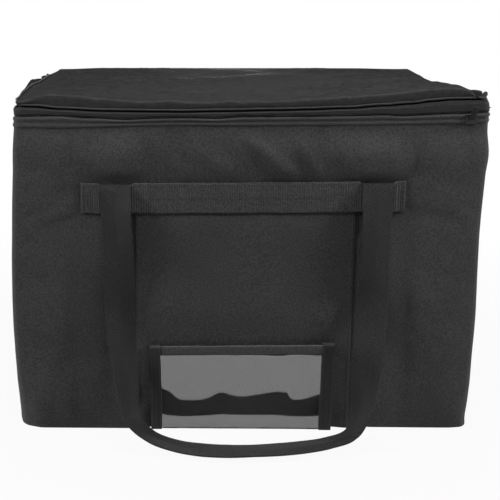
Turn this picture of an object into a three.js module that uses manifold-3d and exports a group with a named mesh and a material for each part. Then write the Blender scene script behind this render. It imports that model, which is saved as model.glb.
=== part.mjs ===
// Collapsible insulated food carrier: a soft-sided box of foam panels between black
// polyester and a foil liner, with a zipped lid, two webbing handles and a window pocket.
// The side walls fold inwards on a middle hinge while the two halves of the floor tip up
// against the front and back walls, so the front wall travels to the back one.
// Millimetres, +Z up, the front faces -Y, and the origin is the middle of the underside.
import * as THREE from "three";
import { mergeVertices } from "three/addons/utils/BufferGeometryUtils.js";
import Module from "manifold-3d";

const wasm = await Module();
wasm.setup();

// The bag
const bagWidth = 559;
const bagDepth = 356;
const bagHeight = 416;
const cornerRadius = 9;
const cornerSegments = 5;

// What a panel is made of, from the outside in
const fabricThickness = 1.6;
const foamThickness = 8;
const linerThickness = 0.8;
const seamGap = 0.3;
const wallThickness = fabricThickness + foamThickness + linerThickness + 2 * seamGap;

// Hems and zipper between the walls and the lid, from the bottom up
const hemHeight = 9.3;
const coilHeight = 2.4;
const flapHeight = 7.1;
const tapeThickness = 2.2;
const lidBottom = bagHeight - wallThickness;
const flapBottom = lidBottom - seamGap - flapHeight;
const coilBottom = flapBottom - seamGap - coilHeight;
const hemBottom = coilBottom - seamGap - hemHeight;
const wallTop = hemBottom - seamGap;
const pipingHeight = 3.6;
const pipingProud = 2;
const pipingDrop = 1;

// The floor of the bag, in two halves that tip up as the walls fold
const floorFoamThickness = 6;
const floorThickness = fabricThickness + floorFoamThickness + linerThickness + 2 * seamGap;
const floorSideClearance = 1.2;
const floorHingeInset = 0.5;
const gussetClearance = 0.5;
const foldClearance = 3;

// Fold lines, in plan
const halfWidth = bagWidth / 2;
const halfDepth = bagDepth / 2;
const innerHalfWidth = halfWidth - wallThickness;
const innerHalfDepth = halfDepth - wallThickness;
const hingeGap = 0.3;
const cornerReturn = floorHingeInset + floorThickness + foldClearance;
const cornerHingeY = innerHalfDepth - cornerReturn;

// Webbing
const webbingWidth = 38;
const webbingThickness = 2;
const bandBottom = 281;
const trimOffset = -3.5; // the trim is sewn on a little to the left of the middle
const handleSpacing = 316;
const bandEndLength = 20;
const bandLength = handleSpacing + webbingWidth + 2 * bandEndLength;
const sewnEndDrop = 3;
const strapThickness = 2.2;
const strapRise = 1.5; // how far the middle of the strap lies above the ground
const loopReach = 68.5; // how far the strap's loop lies out on the ground, past its hanging part

// Front pocket with its clear window
const pocketStrapGap = 6;
const pocketWidth = handleSpacing - webbingWidth - 2 * pocketStrapGap;
const pocketThickness = 2;
const pocketTopInset = 3;
const pocketBottom = 4;
const windowBottom = 7;
const windowSideInset = 15;
const windowWidth = pocketWidth - 2 * windowSideInset;
const windowTop = 107;
const sideBindingWidth = 15;
const topBindingHeight = 12;
const bottomSeamHeight = 6;
const vinylThickness = 1;
const slotDepth = 5.2;
const bindingDepth = 2.4;

// Zipper sliders
const sliderLength = 13;
const sliderHeight = 11;
const sliderThickness = 2;
const sliderGap = 0.95;
const crownHeight = 3;
const crownThickness = 1.6;
const crownLength = 6;
const crownHole = 1.9;
const sideSliderInset = 28;
const frontSliderInset = 17.5;
const sideSliderY = -halfDepth + sideSliderInset;
const frontSliderX = halfWidth - frontSliderInset;
const pullLength = 19;
const pullWidth = 7;
const pullThickness = 1.4;
const sidePullTilt = -82;
const frontPullTilt = 62;

const materials = {
  polyester: new THREE.MeshStandardMaterial({ color: 0x2e2e2e, roughness: 0.85 }),
  foam: new THREE.MeshStandardMaterial({ color: 0xd9d9d4, roughness: 0.9 }),
  foil: new THREE.MeshStandardMaterial({ color: 0xa9abad, roughness: 0.35, metalness: 0.6 }),
  webbing: new THREE.MeshStandardMaterial({ color: 0x262626, roughness: 0.8 }),
  zipper: new THREE.MeshStandardMaterial({ color: 0x151515, roughness: 0.5 }),
  slider: new THREE.MeshStandardMaterial({ color: 0x1c1c1c, roughness: 0.4, metalness: 0.7 }),
  vinyl: new THREE.MeshStandardMaterial({
    color: 0x9a9a9a,
    roughness: 0.15,
    transparent: true,
    opacity: 0.5,
  }),
};

const carrier = new THREE.Group();

// A group for the pieces that move together.
function movingGroup() {
  const group = new THREE.Group();
  carrier.add(group);
  return group;
}

function addMesh(group, name, geometry, material) {
  const mesh = new THREE.Mesh(geometry, material);
  mesh.name = name;
  group.add(mesh);
  return mesh;
}

// A block between two corners.
function addBlock(group, name, material, [x0, y0, z0], [x1, y1, z1]) {
  const geometry = new THREE.BoxGeometry(x1 - x0, y1 - y0, z1 - z0);
  const mesh = addMesh(group, name, geometry, material);
  mesh.position.set((x0 + x1) / 2, (y0 + y1) / 2, (z0 + z1) / 2);
  return mesh;
}

// A flat outline in plan, raised from one height to another.
function addPlan(group, name, material, shape, bottom, top) {
  const geometry = new THREE.ExtrudeGeometry(shape, {
    depth: top - bottom,
    bevelEnabled: false,
    curveSegments: cornerSegments,
  });
  const mesh = addMesh(group, name, geometry, material);
  mesh.position.z = bottom;
  return mesh;
}

// A rectangle in plan with round corners.
function roundedPlan(halfX, halfY, radius) {
  const shape = new THREE.Shape();
  shape.moveTo(-halfX + radius, -halfY);
  shape.lineTo(halfX - radius, -halfY);
  shape.absarc(halfX - radius, -halfY + radius, radius, -Math.PI / 2, 0);
  shape.lineTo(halfX, halfY - radius);
  shape.absarc(halfX - radius, halfY - radius, radius, 0, Math.PI / 2);
  shape.lineTo(-halfX + radius, halfY);
  shape.absarc(-halfX + radius, halfY - radius, radius, Math.PI / 2, Math.PI);
  shape.lineTo(-halfX, -halfY + radius);
  shape.absarc(-halfX + radius, -halfY + radius, radius, Math.PI, 1.5 * Math.PI);
  return shape;
}

// A channel in plan: a face across the bag at faceY, and a return at each end as far as endY.
function channelPlan(halfX, faceY, endY, thickness, radius) {
  const side = Math.sign(faceY);
  const outerY = faceY - side * radius;
  const innerRadius = Math.max(radius - thickness, seamGap);
  const innerX = halfX - thickness;
  const innerY = faceY - side * thickness;
  const shape = new THREE.Shape();
  const clockwise = side > 0;
  const acrossAngle = (side * Math.PI) / 2;
  const innerArcX = innerX - innerRadius;
  const innerArcY = innerY - side * innerRadius;
  shape.moveTo(-halfX, endY);
  shape.lineTo(-halfX, outerY);
  shape.absarc(-halfX + radius, outerY, radius, Math.PI, acrossAngle, clockwise);
  shape.absarc(halfX - radius, outerY, radius, acrossAngle, 0, clockwise);
  shape.lineTo(halfX, endY);
  shape.lineTo(innerX, endY);
  shape.absarc(innerArcX, innerArcY, innerRadius, 0, acrossAngle, !clockwise);
  shape.absarc(-innerArcX, innerArcY, innerRadius, acrossAngle, Math.PI, !clockwise);
  shape.lineTo(-innerX, endY);
  return shape;
}

// Geometry to and from a manifold-3d solid, for cuts and joins.
function solidFrom(geometry) {
  const bare = geometry.index ? geometry.toNonIndexed() : geometry.clone();
  bare.deleteAttribute("normal");
  bare.deleteAttribute("uv");
  const merged = mergeVertices(bare, 1e-4);
  return new wasm.Manifold(
    new wasm.Mesh({
      numProp: 3,
      vertProperties: merged.attributes.position.array,
      triVerts: new Uint32Array(merged.index.array),
    }),
  );
}

function geometryFrom(solid) {
  const mesh = solid.getMesh();
  const geometry = new THREE.BufferGeometry();
  geometry.setAttribute("position", new THREE.BufferAttribute(mesh.vertProperties, 3));
  geometry.setIndex(new THREE.BufferAttribute(mesh.triVerts, 1));
  geometry.computeVertexNormals();
  return geometry;
}

function raisedSolid(shape, bottom, top) {
  const geometry = new THREE.ExtrudeGeometry(shape, {
    depth: top - bottom,
    bevelEnabled: false,
    curveSegments: cornerSegments,
  });
  geometry.translate(0, 0, bottom);
  return solidFrom(geometry);
}

function blockGeometry([x0, y0, z0], [x1, y1, z1]) {
  const geometry = new THREE.BoxGeometry(x1 - x0, y1 - y0, z1 - z0);
  geometry.translate((x0 + x1) / 2, (y0 + y1) / 2, (z0 + z1) / 2);
  return geometry;
}

// A front or back wall with a short return at each end, which leaves room behind the folded
// side walls for half of the floor. Its fabric turns in under the foam. side is 1 at the back.
function buildWall(group, name, side) {
  const endY = side * (cornerHingeY + hingeGap);
  const paddingBottom = fabricThickness + seamGap;
  const shell = channelPlan(halfWidth, side * halfDepth, endY, fabricThickness, cornerRadius);
  const lip = channelPlan(halfWidth, side * halfDepth, endY, wallThickness, cornerRadius);
  const fabric = raisedSolid(shell, 0, wallTop).add(raisedSolid(lip, 0, fabricThickness));
  addMesh(group, `${name}_outer_fabric`, geometryFrom(fabric), materials.polyester);

  const addPadding = (layer, material, inset, thickness, radius) => {
    const plan = channelPlan(halfWidth - inset, side * (halfDepth - inset), endY, thickness, radius);
    addPlan(group, `${name}_${layer}`, material, plan, paddingBottom, wallTop);
  };
  const foamInset = fabricThickness + seamGap;
  addPadding("foam", materials.foam, foamInset, foamThickness, cornerRadius - foamInset);
  addPadding("liner", materials.foil, wallThickness - linerThickness, linerThickness, linerThickness);

  const hem = channelPlan(halfWidth, side * halfDepth, endY, tapeThickness, cornerRadius);
  addPlan(group, `${name}_hem`, materials.polyester, hem, hemBottom, hemBottom + hemHeight);
}

// Half of a side wall, between two fold lines; side is 1 at the right
function buildSideHalf(group, name, side, fromY, toY) {
  const startY = fromY + hingeGap;
  const endY = toY - hingeGap;
  const slab = (inset, thickness) =>
    [side * (halfWidth - inset), side * (halfWidth - inset - thickness)].sort((a, b) => a - b);
  const face = slab(0, fabricThickness);
  const lip = slab(0, wallThickness);
  const fabric = solidFrom(blockGeometry([face[0], startY, 0], [face[1], endY, wallTop])).add(
    solidFrom(blockGeometry([lip[0], startY, 0], [lip[1], endY, fabricThickness])),
  );
  addMesh(group, `${name}_outer_fabric`, geometryFrom(fabric), materials.polyester);

  const paddingBottom = fabricThickness + seamGap;
  const layers = [
    ["foam", materials.foam, slab(fabricThickness + seamGap, foamThickness), paddingBottom, wallTop],
    ["liner", materials.foil, slab(wallThickness - linerThickness, linerThickness), paddingBottom, wallTop],
    ["hem", materials.polyester, slab(0, tapeThickness), hemBottom, hemBottom + hemHeight],
  ];
  for (const [layer, material, edges, bottom, top] of layers) {
    addBlock(group, `${name}_${layer}`, material, [edges[0], startY, bottom], [edges[1], endY, top]);
  }
}

// A short strip that carries the lid's back edge
function buildLidHinge(group) {
  addBlock(
    group,
    "lid_hinge_strip",
    materials.polyester,
    [-halfWidth + cornerRadius, halfDepth - tapeThickness, hemBottom + hemHeight + seamGap],
    [halfWidth - cornerRadius, halfDepth, lidBottom - seamGap],
  );
}

// Half of the floor. Its ends narrow at 45 degrees, clear of the side walls as they fold in.
function buildFloorHalf(group, name, side) {
  const wideX = innerHalfWidth - floorSideClearance;
  const hingeY = innerHalfDepth - floorHingeInset;
  const middleY = floorHingeInset;
  const narrowX = wideX - (hingeY - middleY);
  const outline = new THREE.Shape([
    new THREE.Vector2(-wideX, side * hingeY),
    new THREE.Vector2(wideX, side * hingeY),
    new THREE.Vector2(narrowX, side * middleY),
    new THREE.Vector2(-narrowX, side * middleY),
  ]);
  const foamBottom = fabricThickness + seamGap;
  const linerBottom = floorThickness - linerThickness;
  addPlan(group, `${name}_fabric`, materials.polyester, outline, 0, fabricThickness);
  addPlan(group, `${name}_foam`, materials.foam, outline, foamBottom, foamBottom + floorFoamThickness);
  addPlan(group, `${name}_liner`, materials.foil, outline, linerBottom, floorThickness);
}

// Soft triangle between the floor's narrowed ends and a side wall; side is 1 at the right
function buildGusset(group, name, side) {
  const outerX = innerHalfWidth - gussetClearance;
  const wideX = innerHalfWidth - floorSideClearance;
  const hingeY = innerHalfDepth - floorHingeInset;
  const edgeGap = gussetClearance * Math.SQRT2;
  const reach = outerX - (wideX - hingeY) - edgeGap;
  const outline = new THREE.Shape([
    new THREE.Vector2(side * outerX, -reach),
    new THREE.Vector2(side * outerX, reach),
    new THREE.Vector2(side * (outerX - reach), 0),
  ]);
  addPlan(group, name, materials.foil, outline, fabricThickness, floorThickness - linerThickness);
}

// Lid: a fabric cap over foam and liner, with the piping round its edge
function buildLid(group) {
  const insetPlan = (inset) => roundedPlan(halfWidth - inset, halfDepth - inset, cornerRadius - inset);
  const cap = raisedSolid(insetPlan(0), lidBottom, bagHeight).subtract(
    raisedSolid(insetPlan(fabricThickness), lidBottom - fabricThickness, bagHeight - fabricThickness),
  );
  addMesh(group, "lid_outer_fabric", geometryFrom(cap), materials.polyester);
  const filling = insetPlan(fabricThickness + seamGap);
  addPlan(group, "lid_liner", materials.foil, filling, lidBottom, lidBottom + linerThickness);
  const foamBottom = lidBottom + linerThickness + seamGap;
  addPlan(group, "lid_foam", materials.foam, filling, foamBottom, foamBottom + foamThickness);

  const pipingReach = seamGap + pipingProud;
  const pipingEnd = halfDepth - cornerRadius;
  const pipingTop = bagHeight - pipingDrop;
  const piping = channelPlan(
    halfWidth + pipingReach,
    -halfDepth - pipingReach,
    pipingEnd,
    pipingProud,
    cornerRadius + pipingReach,
  );
  addPlan(group, "lid_piping", materials.webbing, piping, pipingTop - pipingHeight, pipingTop);
}

// Zipper: the flap under the lid's edge and the coil, round the front and both sides
function buildZipper(group) {
  const endY = halfDepth - tapeThickness - seamGap;
  const plan = channelPlan(halfWidth, -halfDepth, endY, tapeThickness, cornerRadius);
  addPlan(group, "zipper_flap", materials.polyester, plan, flapBottom, flapBottom + flapHeight);
  addPlan(group, "zipper_coil", materials.zipper, plan, coilBottom, coilBottom + coilHeight);
}

// A slider whose plate lies on the coil and whose crown stands off it, drawn facing +X
function sliderGeometry() {
  const plateEnd = sliderGap + sliderThickness;
  const crownEnd = plateEnd + crownHeight;
  const standing = (from, to, length, height) =>
    solidFrom(blockGeometry([from, -length / 2, -height / 2], [to, length / 2, height / 2]));
  const plate = standing(sliderGap, plateEnd, sliderLength, sliderHeight);
  const crown = standing(plateEnd - seamGap, crownEnd, crownLength, crownThickness);
  const eye = new THREE.CylinderGeometry(crownHole / 2, crownHole / 2, 2 * crownThickness, 12);
  eye.rotateX(Math.PI / 2);
  eye.translate(plateEnd + crownHeight / 2, 0, 0);
  return geometryFrom(plate.add(crown).subtract(solidFrom(eye)));
}

// How far a pull's pivot stands off the face of the bag
const pullPivot = sliderGap + sliderThickness + crownHeight + pullThickness / 2 + seamGap;

// A pull tab that starts just off the crown, drawn along +X and tilted up
function addPull(slider, name, tilt) {
  const tab = addBlock(
    slider,
    name,
    materials.webbing,
    [0, -pullWidth / 2, -pullThickness / 2],
    [pullLength, pullWidth / 2, pullThickness / 2],
  );
  const middle = pullLength / 2;
  const angle = THREE.MathUtils.degToRad(tilt);
  tab.rotation.y = -angle;
  tab.position.set(pullPivot + middle * Math.cos(angle), 0, middle * Math.sin(angle));
}

function buildSliders() {
  const middleZ = coilBottom + coilHeight / 2;
  const side = movingGroup();
  side.position.set(halfWidth, sideSliderY, middleZ);
  addMesh(side, "side_slider", sliderGeometry(), materials.slider);
  addPull(side, "side_slider_pull", sidePullTilt);

  const front = movingGroup();
  front.position.set(frontSliderX, -halfDepth, middleZ);
  front.rotation.z = -Math.PI / 2;
  addMesh(front, "front_slider", sliderGeometry(), materials.slider);
  addPull(front, "front_slider_pull", frontPullTilt);
}

// Webbing across a wall, with the sewn ends of the handle behind it; side is -1 at the front
function buildBand(group, name, side) {
  const wallY = side * halfDepth;
  const layer = (inner, outer) => [wallY + side * inner, wallY + side * outer].sort((a, b) => a - b);
  const sewnOuter = seamGap + strapThickness;
  const sewnY = layer(seamGap, sewnOuter);
  for (const [end, sign] of [["left", -1], ["right", 1]]) {
    const middle = trimOffset + (sign * handleSpacing) / 2;
    addBlock(
      group,
      `${name}_strap_end_${end}`,
      materials.webbing,
      [middle - webbingWidth / 2, sewnY[0], bandBottom + sewnEndDrop],
      [middle + webbingWidth / 2, sewnY[1], bandBottom + webbingWidth],
    );
  }
  const bandY = layer(sewnOuter + seamGap, sewnOuter + seamGap + webbingThickness);
  addBlock(
    group,
    `${name}_band`,
    materials.webbing,
    [trimOffset - bandLength / 2, bandY[0], bandBottom],
    [trimOffset + bandLength / 2, bandY[1], bandBottom + webbingWidth],
  );
}

// How far the middle of the hanging strap stands off the wall where it passes over the band
const strapStandoff = 3 * seamGap + strapThickness + webbingThickness + strapThickness / 2;
const strapTop = bandBottom + webbingWidth;

// The strap hangs from the band's top edge, twists and lies flat on the ground in front.
// Each row holds shares of half the handle spacing, of the loop's reach and of the strap's
// height, and the turn of its width, where -90 and 90 lie along the wall and 0 points out.
const strapStations = [
  [-1, 0, 1, -90],
  [-0.997, 0, 0.85, -90],
  [-0.99, 0.004, 0.69, -90],
  [-0.975, 0.015, 0.52, -84],
  [-0.953, 0.095, 0.31, -65],
  [-0.927, 0.16, 0.185, -54],
  [-0.899, 0.22, 0.1, -45],
  [-0.848, 0.292, 0.035, -42],
  [-0.766, 0.423, 0.006, -38],
  [-0.608, 0.62, 0, -30],
  [-0.361, 0.854, 0, -17],
  [0.022, 1, 0, 0],
  [0.392, 0.934, 0, 13],
  [0.671, 0.686, 0, 32],
  [0.823, 0.438, 0.006, 47],
  [0.911, 0.219, 0.041, 58],
  [0.962, 0.088, 0.136, 70],
  [0.99, 0.036, 0.317, 80],
  [1, 0.015, 0.53, 88],
  [1.01, 0.004, 0.73, 90],
  [1, 0, 1, 90],
];

// A flat strap swept along a path, its width turned as the stations say.
function strapGeometry(side, steps) {
  const points = strapStations.map(
    ([along, out, up]) =>
      new THREE.Vector3(
        trimOffset + (along * handleSpacing) / 2,
        side * (halfDepth + strapStandoff + out * loopReach),
        strapRise + up * (strapTop - strapRise),
      ),
  );
  const path = new THREE.CatmullRomCurve3(points, false, "centripetal");
  const corners = [
    [-0.5, -0.5],
    [0.5, -0.5],
    [0.5, 0.5],
    [-0.5, 0.5],
  ];
  const positions = [];
  for (let step = 0; step <= steps; step++) {
    const share = step / steps;
    const at = path.getPoint(share);
    const along = path.getTangent(share);
    const place = share * (strapStations.length - 1);
    const before = Math.min(Math.floor(place), strapStations.length - 2);
    const turn = THREE.MathUtils.degToRad(
      THREE.MathUtils.lerp(strapStations[before][3], strapStations[before + 1][3], place - before),
    );
    const across = new THREE.Vector3(Math.sin(turn), side * Math.cos(turn), 0);
    across.addScaledVector(along, -across.dot(along)).normalize();
    const through = new THREE.Vector3().crossVectors(along, across);
    for (const [u, v] of corners) {
      const corner = at
        .clone()
        .addScaledVector(across, u * webbingWidth)
        .addScaledVector(through, v * strapThickness);
      positions.push(corner.x, corner.y, corner.z);
    }
  }
  const faces = [];
  for (let step = 0; step < steps; step++) {
    for (let edge = 0; edge < 4; edge++) {
      const a = step * 4 + edge;
      const b = step * 4 + ((edge + 1) % 4);
      faces.push(a, b, b + 4, a, b + 4, a + 4);
    }
  }
  const last = steps * 4;
  faces.push(0, 2, 1, 0, 3, 2, last, last + 1, last + 2, last, last + 2, last + 3);
  const geometry = new THREE.BufferGeometry();
  geometry.setAttribute("position", new THREE.BufferAttribute(new Float32Array(positions), 3));
  geometry.setIndex(faces);
  geometry.computeVertexNormals();
  return geometry;
}

// Pocket on the front wall: a fabric patch, and a clear window held along three edges
function buildPocket(group) {
  const out = (distance) => -halfDepth - distance;
  const pocketOuter = seamGap + pocketThickness;
  const slotStart = pocketOuter + seamGap;
  const bindingOuter = slotStart + slotDepth + bindingDepth;
  const sideX = windowWidth / 2;
  addBlock(
    group,
    "pocket_panel",
    materials.polyester,
    [trimOffset - pocketWidth / 2, out(pocketOuter), pocketBottom],
    [trimOffset + pocketWidth / 2, out(seamGap), bandBottom + webbingWidth - pocketTopInset],
  );
  for (const [name, sign] of [["left", -1], ["right", 1]]) {
    const middle = trimOffset + sign * (sideX - sideBindingWidth / 2);
    addBlock(
      group,
      `window_binding_${name}`,
      materials.webbing,
      [middle - sideBindingWidth / 2, out(bindingOuter), windowBottom],
      [middle + sideBindingWidth / 2, out(slotStart), windowTop],
    );
  }
  const clearX = sideX - sideBindingWidth - seamGap;
  addBlock(
    group,
    "window_bottom_seam",
    materials.webbing,
    [trimOffset - clearX, out(bindingOuter), windowBottom],
    [trimOffset + clearX, out(slotStart), windowBottom + bottomSeamHeight],
  );
  addBlock(
    group,
    "window_binding_top",
    materials.webbing,
    [trimOffset - clearX, out(bindingOuter), windowTop - topBindingHeight],
    [trimOffset + clearX, out(slotStart + slotDepth), windowTop],
  );
  const vinylOuter = slotStart + slotDepth + (bindingDepth + vinylThickness) / 2;
  addBlock(
    group,
    "window_vinyl",
    materials.vinyl,
    [trimOffset - clearX, out(vinylOuter), windowBottom + bottomSeamHeight + seamGap],
    [trimOffset + clearX, out(vinylOuter - vinylThickness), windowTop - topBindingHeight - seamGap],
  );
}

const backWall = movingGroup();
buildWall(backWall, "back", 1);
buildLidHinge(backWall);
buildBand(backWall, "back", 1);
buildGusset(backWall, "bottom_gusset_left", -1);
buildGusset(backWall, "bottom_gusset_right", 1);

const frontWall = movingGroup();
buildWall(frontWall, "front", -1);
buildBand(frontWall, "front", -1);
buildPocket(frontWall);

for (const [name, side] of [["left", -1], ["right", 1]]) {
  buildSideHalf(movingGroup(), `${name}_rear`, side, 0, cornerHingeY);
  buildSideHalf(movingGroup(), `${name}_front`, side, -cornerHingeY, 0);
}

buildFloorHalf(movingGroup(), "floor_rear", 1);
buildFloorHalf(movingGroup(), "floor_front", -1);

const lid = movingGroup();
buildLid(lid);
buildZipper(lid);
buildSliders();

const strapSteps = 60;
addMesh(movingGroup(), "front_handle", strapGeometry(-1, strapSteps), materials.webbing);
addMesh(movingGroup(), "back_handle", strapGeometry(1, strapSteps), materials.webbing);

export default carrier;
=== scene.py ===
# %% [markdown]
# # A collapsible insulated food carrier
#
# The real object is a soft box bag: black woven polyester over sheets of foam, a foil lining, a
# zipped lid, webbing handles and a clear window on the front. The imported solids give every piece
# its place. This lesson dresses them: each solid that stands for cloth, foam or webbing is
# replaced by a modelled soft piece, and each finish is a node material.

# %% Load the frame
import math
from functools import partial

import bmesh
import bpy
from mathutils import Matrix, Vector, noise


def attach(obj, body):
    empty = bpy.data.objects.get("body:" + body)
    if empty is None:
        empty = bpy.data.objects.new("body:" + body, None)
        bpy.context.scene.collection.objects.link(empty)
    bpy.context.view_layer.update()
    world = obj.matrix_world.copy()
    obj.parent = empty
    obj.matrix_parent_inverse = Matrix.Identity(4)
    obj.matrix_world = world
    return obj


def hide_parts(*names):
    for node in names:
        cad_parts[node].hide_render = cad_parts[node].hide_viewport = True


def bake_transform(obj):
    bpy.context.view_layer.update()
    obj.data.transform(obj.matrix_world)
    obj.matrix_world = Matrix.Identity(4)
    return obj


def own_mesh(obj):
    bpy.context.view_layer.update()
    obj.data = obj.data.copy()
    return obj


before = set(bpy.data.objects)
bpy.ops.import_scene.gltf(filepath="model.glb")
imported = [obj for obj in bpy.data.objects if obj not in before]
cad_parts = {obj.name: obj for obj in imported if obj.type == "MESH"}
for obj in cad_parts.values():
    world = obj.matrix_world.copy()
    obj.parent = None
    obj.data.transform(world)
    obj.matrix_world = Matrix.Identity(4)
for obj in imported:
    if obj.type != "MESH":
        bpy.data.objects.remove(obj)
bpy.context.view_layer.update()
MM = 0.001

# %% [markdown]
# ## Camera, floor and light
#
# The photograph was taken from a little left of the middle, about 1.2 m away, looking slightly
# down. Its frame was cropped afterwards, so the lens axis isn't in the middle of the picture, and
# the camera's shift repeats that. The ground is a pale sheet. It looks white to the camera and to
# reflections, but lights the bag only as a pale floor does.

# %% The camera
SENSOR, PICTURE_PIXELS, FOCAL_PIXELS = 36, 500, 837.1
DOWNWARD, TURNED = 10.22, 0.775
camera_data = bpy.data.cameras.new("camera")
camera_data.sensor_width = SENSOR
camera_data.lens = FOCAL_PIXELS * SENSOR / PICTURE_PIXELS
camera_data.shift_x, camera_data.shift_y = 0.1522, -0.2312
camera = bpy.data.objects.new("camera", camera_data)
camera.location = (-0.0772, -1.1651, 0.5548)
camera.rotation_euler = (math.radians(90 - DOWNWARD), 0, math.radians(TURNED))
bpy.context.collection.objects.link(camera)
bpy.context.scene.camera = camera
bpy.context.scene.view_settings.view_transform = "Standard"


# %% Short ways to make nodes
def new_material(name):
    """An empty node material, its tree and its output."""
    material = bpy.data.materials.new(name)
    material.use_nodes = True
    tree = material.node_tree
    tree.nodes.clear()
    return material, tree, tree.nodes.new("ShaderNodeOutputMaterial")


def add_node(tree, kind, inputs=None, **settings):
    """A node with its settings and the values or links of its inputs."""
    node = tree.nodes.new(kind)
    for key, value in settings.items():
        setattr(node, key, value)
    for key, value in (inputs or {}).items():
        if isinstance(value, bpy.types.NodeSocket):
            tree.links.new(value, node.inputs[key])
        else:
            node.inputs[key].default_value = value
    return node


def math_node(tree, operation, first, second=0.0):
    """One Math node; gives its output socket."""
    return add_node(tree, "ShaderNodeMath", {0: first, 1: second}, operation=operation).outputs[0]


def map_range(tree, value, low, high, new_low, new_high):
    """One Map Range node; gives its output socket."""
    inputs = {0: value, 1: low, 2: high, 3: new_low, 4: new_high}
    return add_node(tree, "ShaderNodeMapRange", inputs).outputs[0]


def mix_colour(tree, share, first, second):
    """One Mix node for two colours, plain or linked; gives its output socket."""
    first, second = (c if isinstance(c, bpy.types.NodeSocket) else (*c, 1) for c in (first, second))
    return add_node(tree, "ShaderNodeMix", {0: share, 6: first, 7: second}, data_type="RGBA").outputs[2]


def noise_node(tree, vector, scale, **inputs):
    """One Noise Texture node; gives its value and its colour."""
    named = {"Vector": vector, "Scale": scale, **inputs}
    return add_node(tree, "ShaderNodeTexNoise", named).outputs


# %% The floor and the sky
FLOOR_GREY = 0.3
FLOOR_NEAR, FLOOR_FAR, NEAR_WHITE = 0.3, 0.9, 0.94
SKY_LIGHT = 0.1


def seen_white(name, colour, strength):
    """Plain paint for light, and an even white for the camera and for glossy and clear rays."""
    material, tree, output = new_material(name)
    paint = add_node(tree, "ShaderNodeBsdfDiffuse", {"Color": (*colour, 1)})
    glow = add_node(tree, "ShaderNodeEmission", {"Color": (1, 1, 1, 1), "Strength": strength})
    rays = add_node(tree, "ShaderNodeLightPath").outputs
    seen = math_node(tree, "MAXIMUM", rays["Is Camera Ray"], rays["Is Glossy Ray"])
    seen = math_node(tree, "MAXIMUM", seen, rays["Is Transmission Ray"])
    place = add_node(tree, "ShaderNodeTexCoord").outputs["Object"]
    far = add_node(tree, "ShaderNodeVectorMath", {0: place}, operation="LENGTH").outputs["Value"]
    away = map_range(tree, far, FLOOR_NEAR, FLOOR_FAR, NEAR_WHITE, 1.0)
    share = math_node(tree, "MULTIPLY", seen, away)
    mixed = add_node(tree, "ShaderNodeMixShader", {0: share, 1: paint.outputs[0], 2: glow.outputs[0]})
    tree.links.new(mixed.outputs[0], output.inputs["Surface"])
    return material


bpy.ops.object.select_all(action="DESELECT")
bpy.ops.mesh.primitive_plane_add(size=12, location=(0, 0, -0.0006))
floor = bpy.context.object
floor.name = "floor"
floor.data.materials.append(seen_white("pale floor", [FLOOR_GREY] * 3, 1.0))

world = bpy.data.worlds.new("studio")
bpy.context.scene.world = world
world.use_nodes = True
sky = world.node_tree
sky.nodes.clear()
sky_output = add_node(sky, "ShaderNodeOutputWorld")
sky_rays = add_node(sky, "ShaderNodeLightPath").outputs
sky_seen = math_node(sky, "MAXIMUM", sky_rays["Is Camera Ray"], sky_rays["Is Transmission Ray"])
sky_light = add_node(sky, "ShaderNodeBackground", {"Color": (1, 1, 1, 1), "Strength": SKY_LIGHT})
sky_white = add_node(sky, "ShaderNodeBackground", {"Color": (1, 1, 1, 1), "Strength": 1.0})
sky_shaders = {0: sky_seen, 1: sky_light.outputs[0], 2: sky_white.outputs[0]}
sky_mix = add_node(sky, "ShaderNodeMixShader", sky_shaders)
sky.links.new(sky_mix.outputs[0], sky_output.inputs["Surface"])


# %% The lamps
def soft_lamp(name, place, aim, size, power):
    """A square studio lamp that faces a point."""
    data = bpy.data.lights.new(name, "AREA")
    data.shape, data.size, data.energy = "SQUARE", size, power
    lamp = bpy.data.objects.new(name, data)
    lamp.location = place
    lamp.rotation_euler = (Vector(aim) - Vector(place)).to_track_quat("-Z", "Y").to_euler()
    bpy.context.collection.objects.link(lamp)


soft_lamp("left lamp", (-2.3, -0.85, 1.5), (0, 0, 0.2), 0.5, 65)
soft_lamp("right lamp", (2.3, -0.8, 1.4), (0, 0, 0.2), 0.5, 52)
soft_lamp("top lamp", (0.1, -0.66, 1.6), (0, 0, 0.3), 0.5, 7)
soft_lamp("lid lamp", (0.1, -0.2, 1.5), (0, 0, 0.3), 0.4, 8.5)
soft_lamp("back lamp", (0.3, 2.2, 1.0), (0, 0, 0.4), 0.9, 0.6)
soft_lamp("low back lamp", (0.1, 2.6, 0.3), (0, 0, 0.2), 0.4, 16)

# %% [markdown]
# ## Finishes
#
# The weave, the slow change of tone over a panel and the crinkle of foil are needed by more than
# one finish, so each is a node group that is built once. Woven finishes follow the piece's own UV
# map, which is laid out in metres along the cloth, so a thread is as wide on every piece.

# %% Shared node groups
def new_group(name, inputs, outputs):
    """A shader node group with float or vector inputs and float outputs."""
    group = bpy.data.node_groups.new(name, "ShaderNodeTree")
    for label, value in inputs.items():
        kind = "NodeSocketVector" if label == "Vector" else "NodeSocketFloat"
        socket = group.interface.new_socket(label, in_out="INPUT", socket_type=kind)
        if label != "Vector":
            socket.default_value = value
    for label in outputs:
        group.interface.new_socket(label, in_out="OUTPUT", socket_type="NodeSocketFloat")
    inside, outside = group.nodes.new("NodeGroupInput"), group.nodes.new("NodeGroupOutput")
    return group, inside.outputs, outside.inputs


def thread_group(name, spacing):
    """A group for threads: its tree, places along two axes, half turns per metre and results."""
    group, given, results = new_group(name, {"Vector": 0, "Spacing": spacing}, ["Height", "Gap"])
    split = add_node(group, "ShaderNodeSeparateXYZ", {0: given["Vector"]}).outputs
    turns = math_node(group, "DIVIDE", math.pi, given["Spacing"])
    return group, split[0], split[1], turns, results


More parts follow.
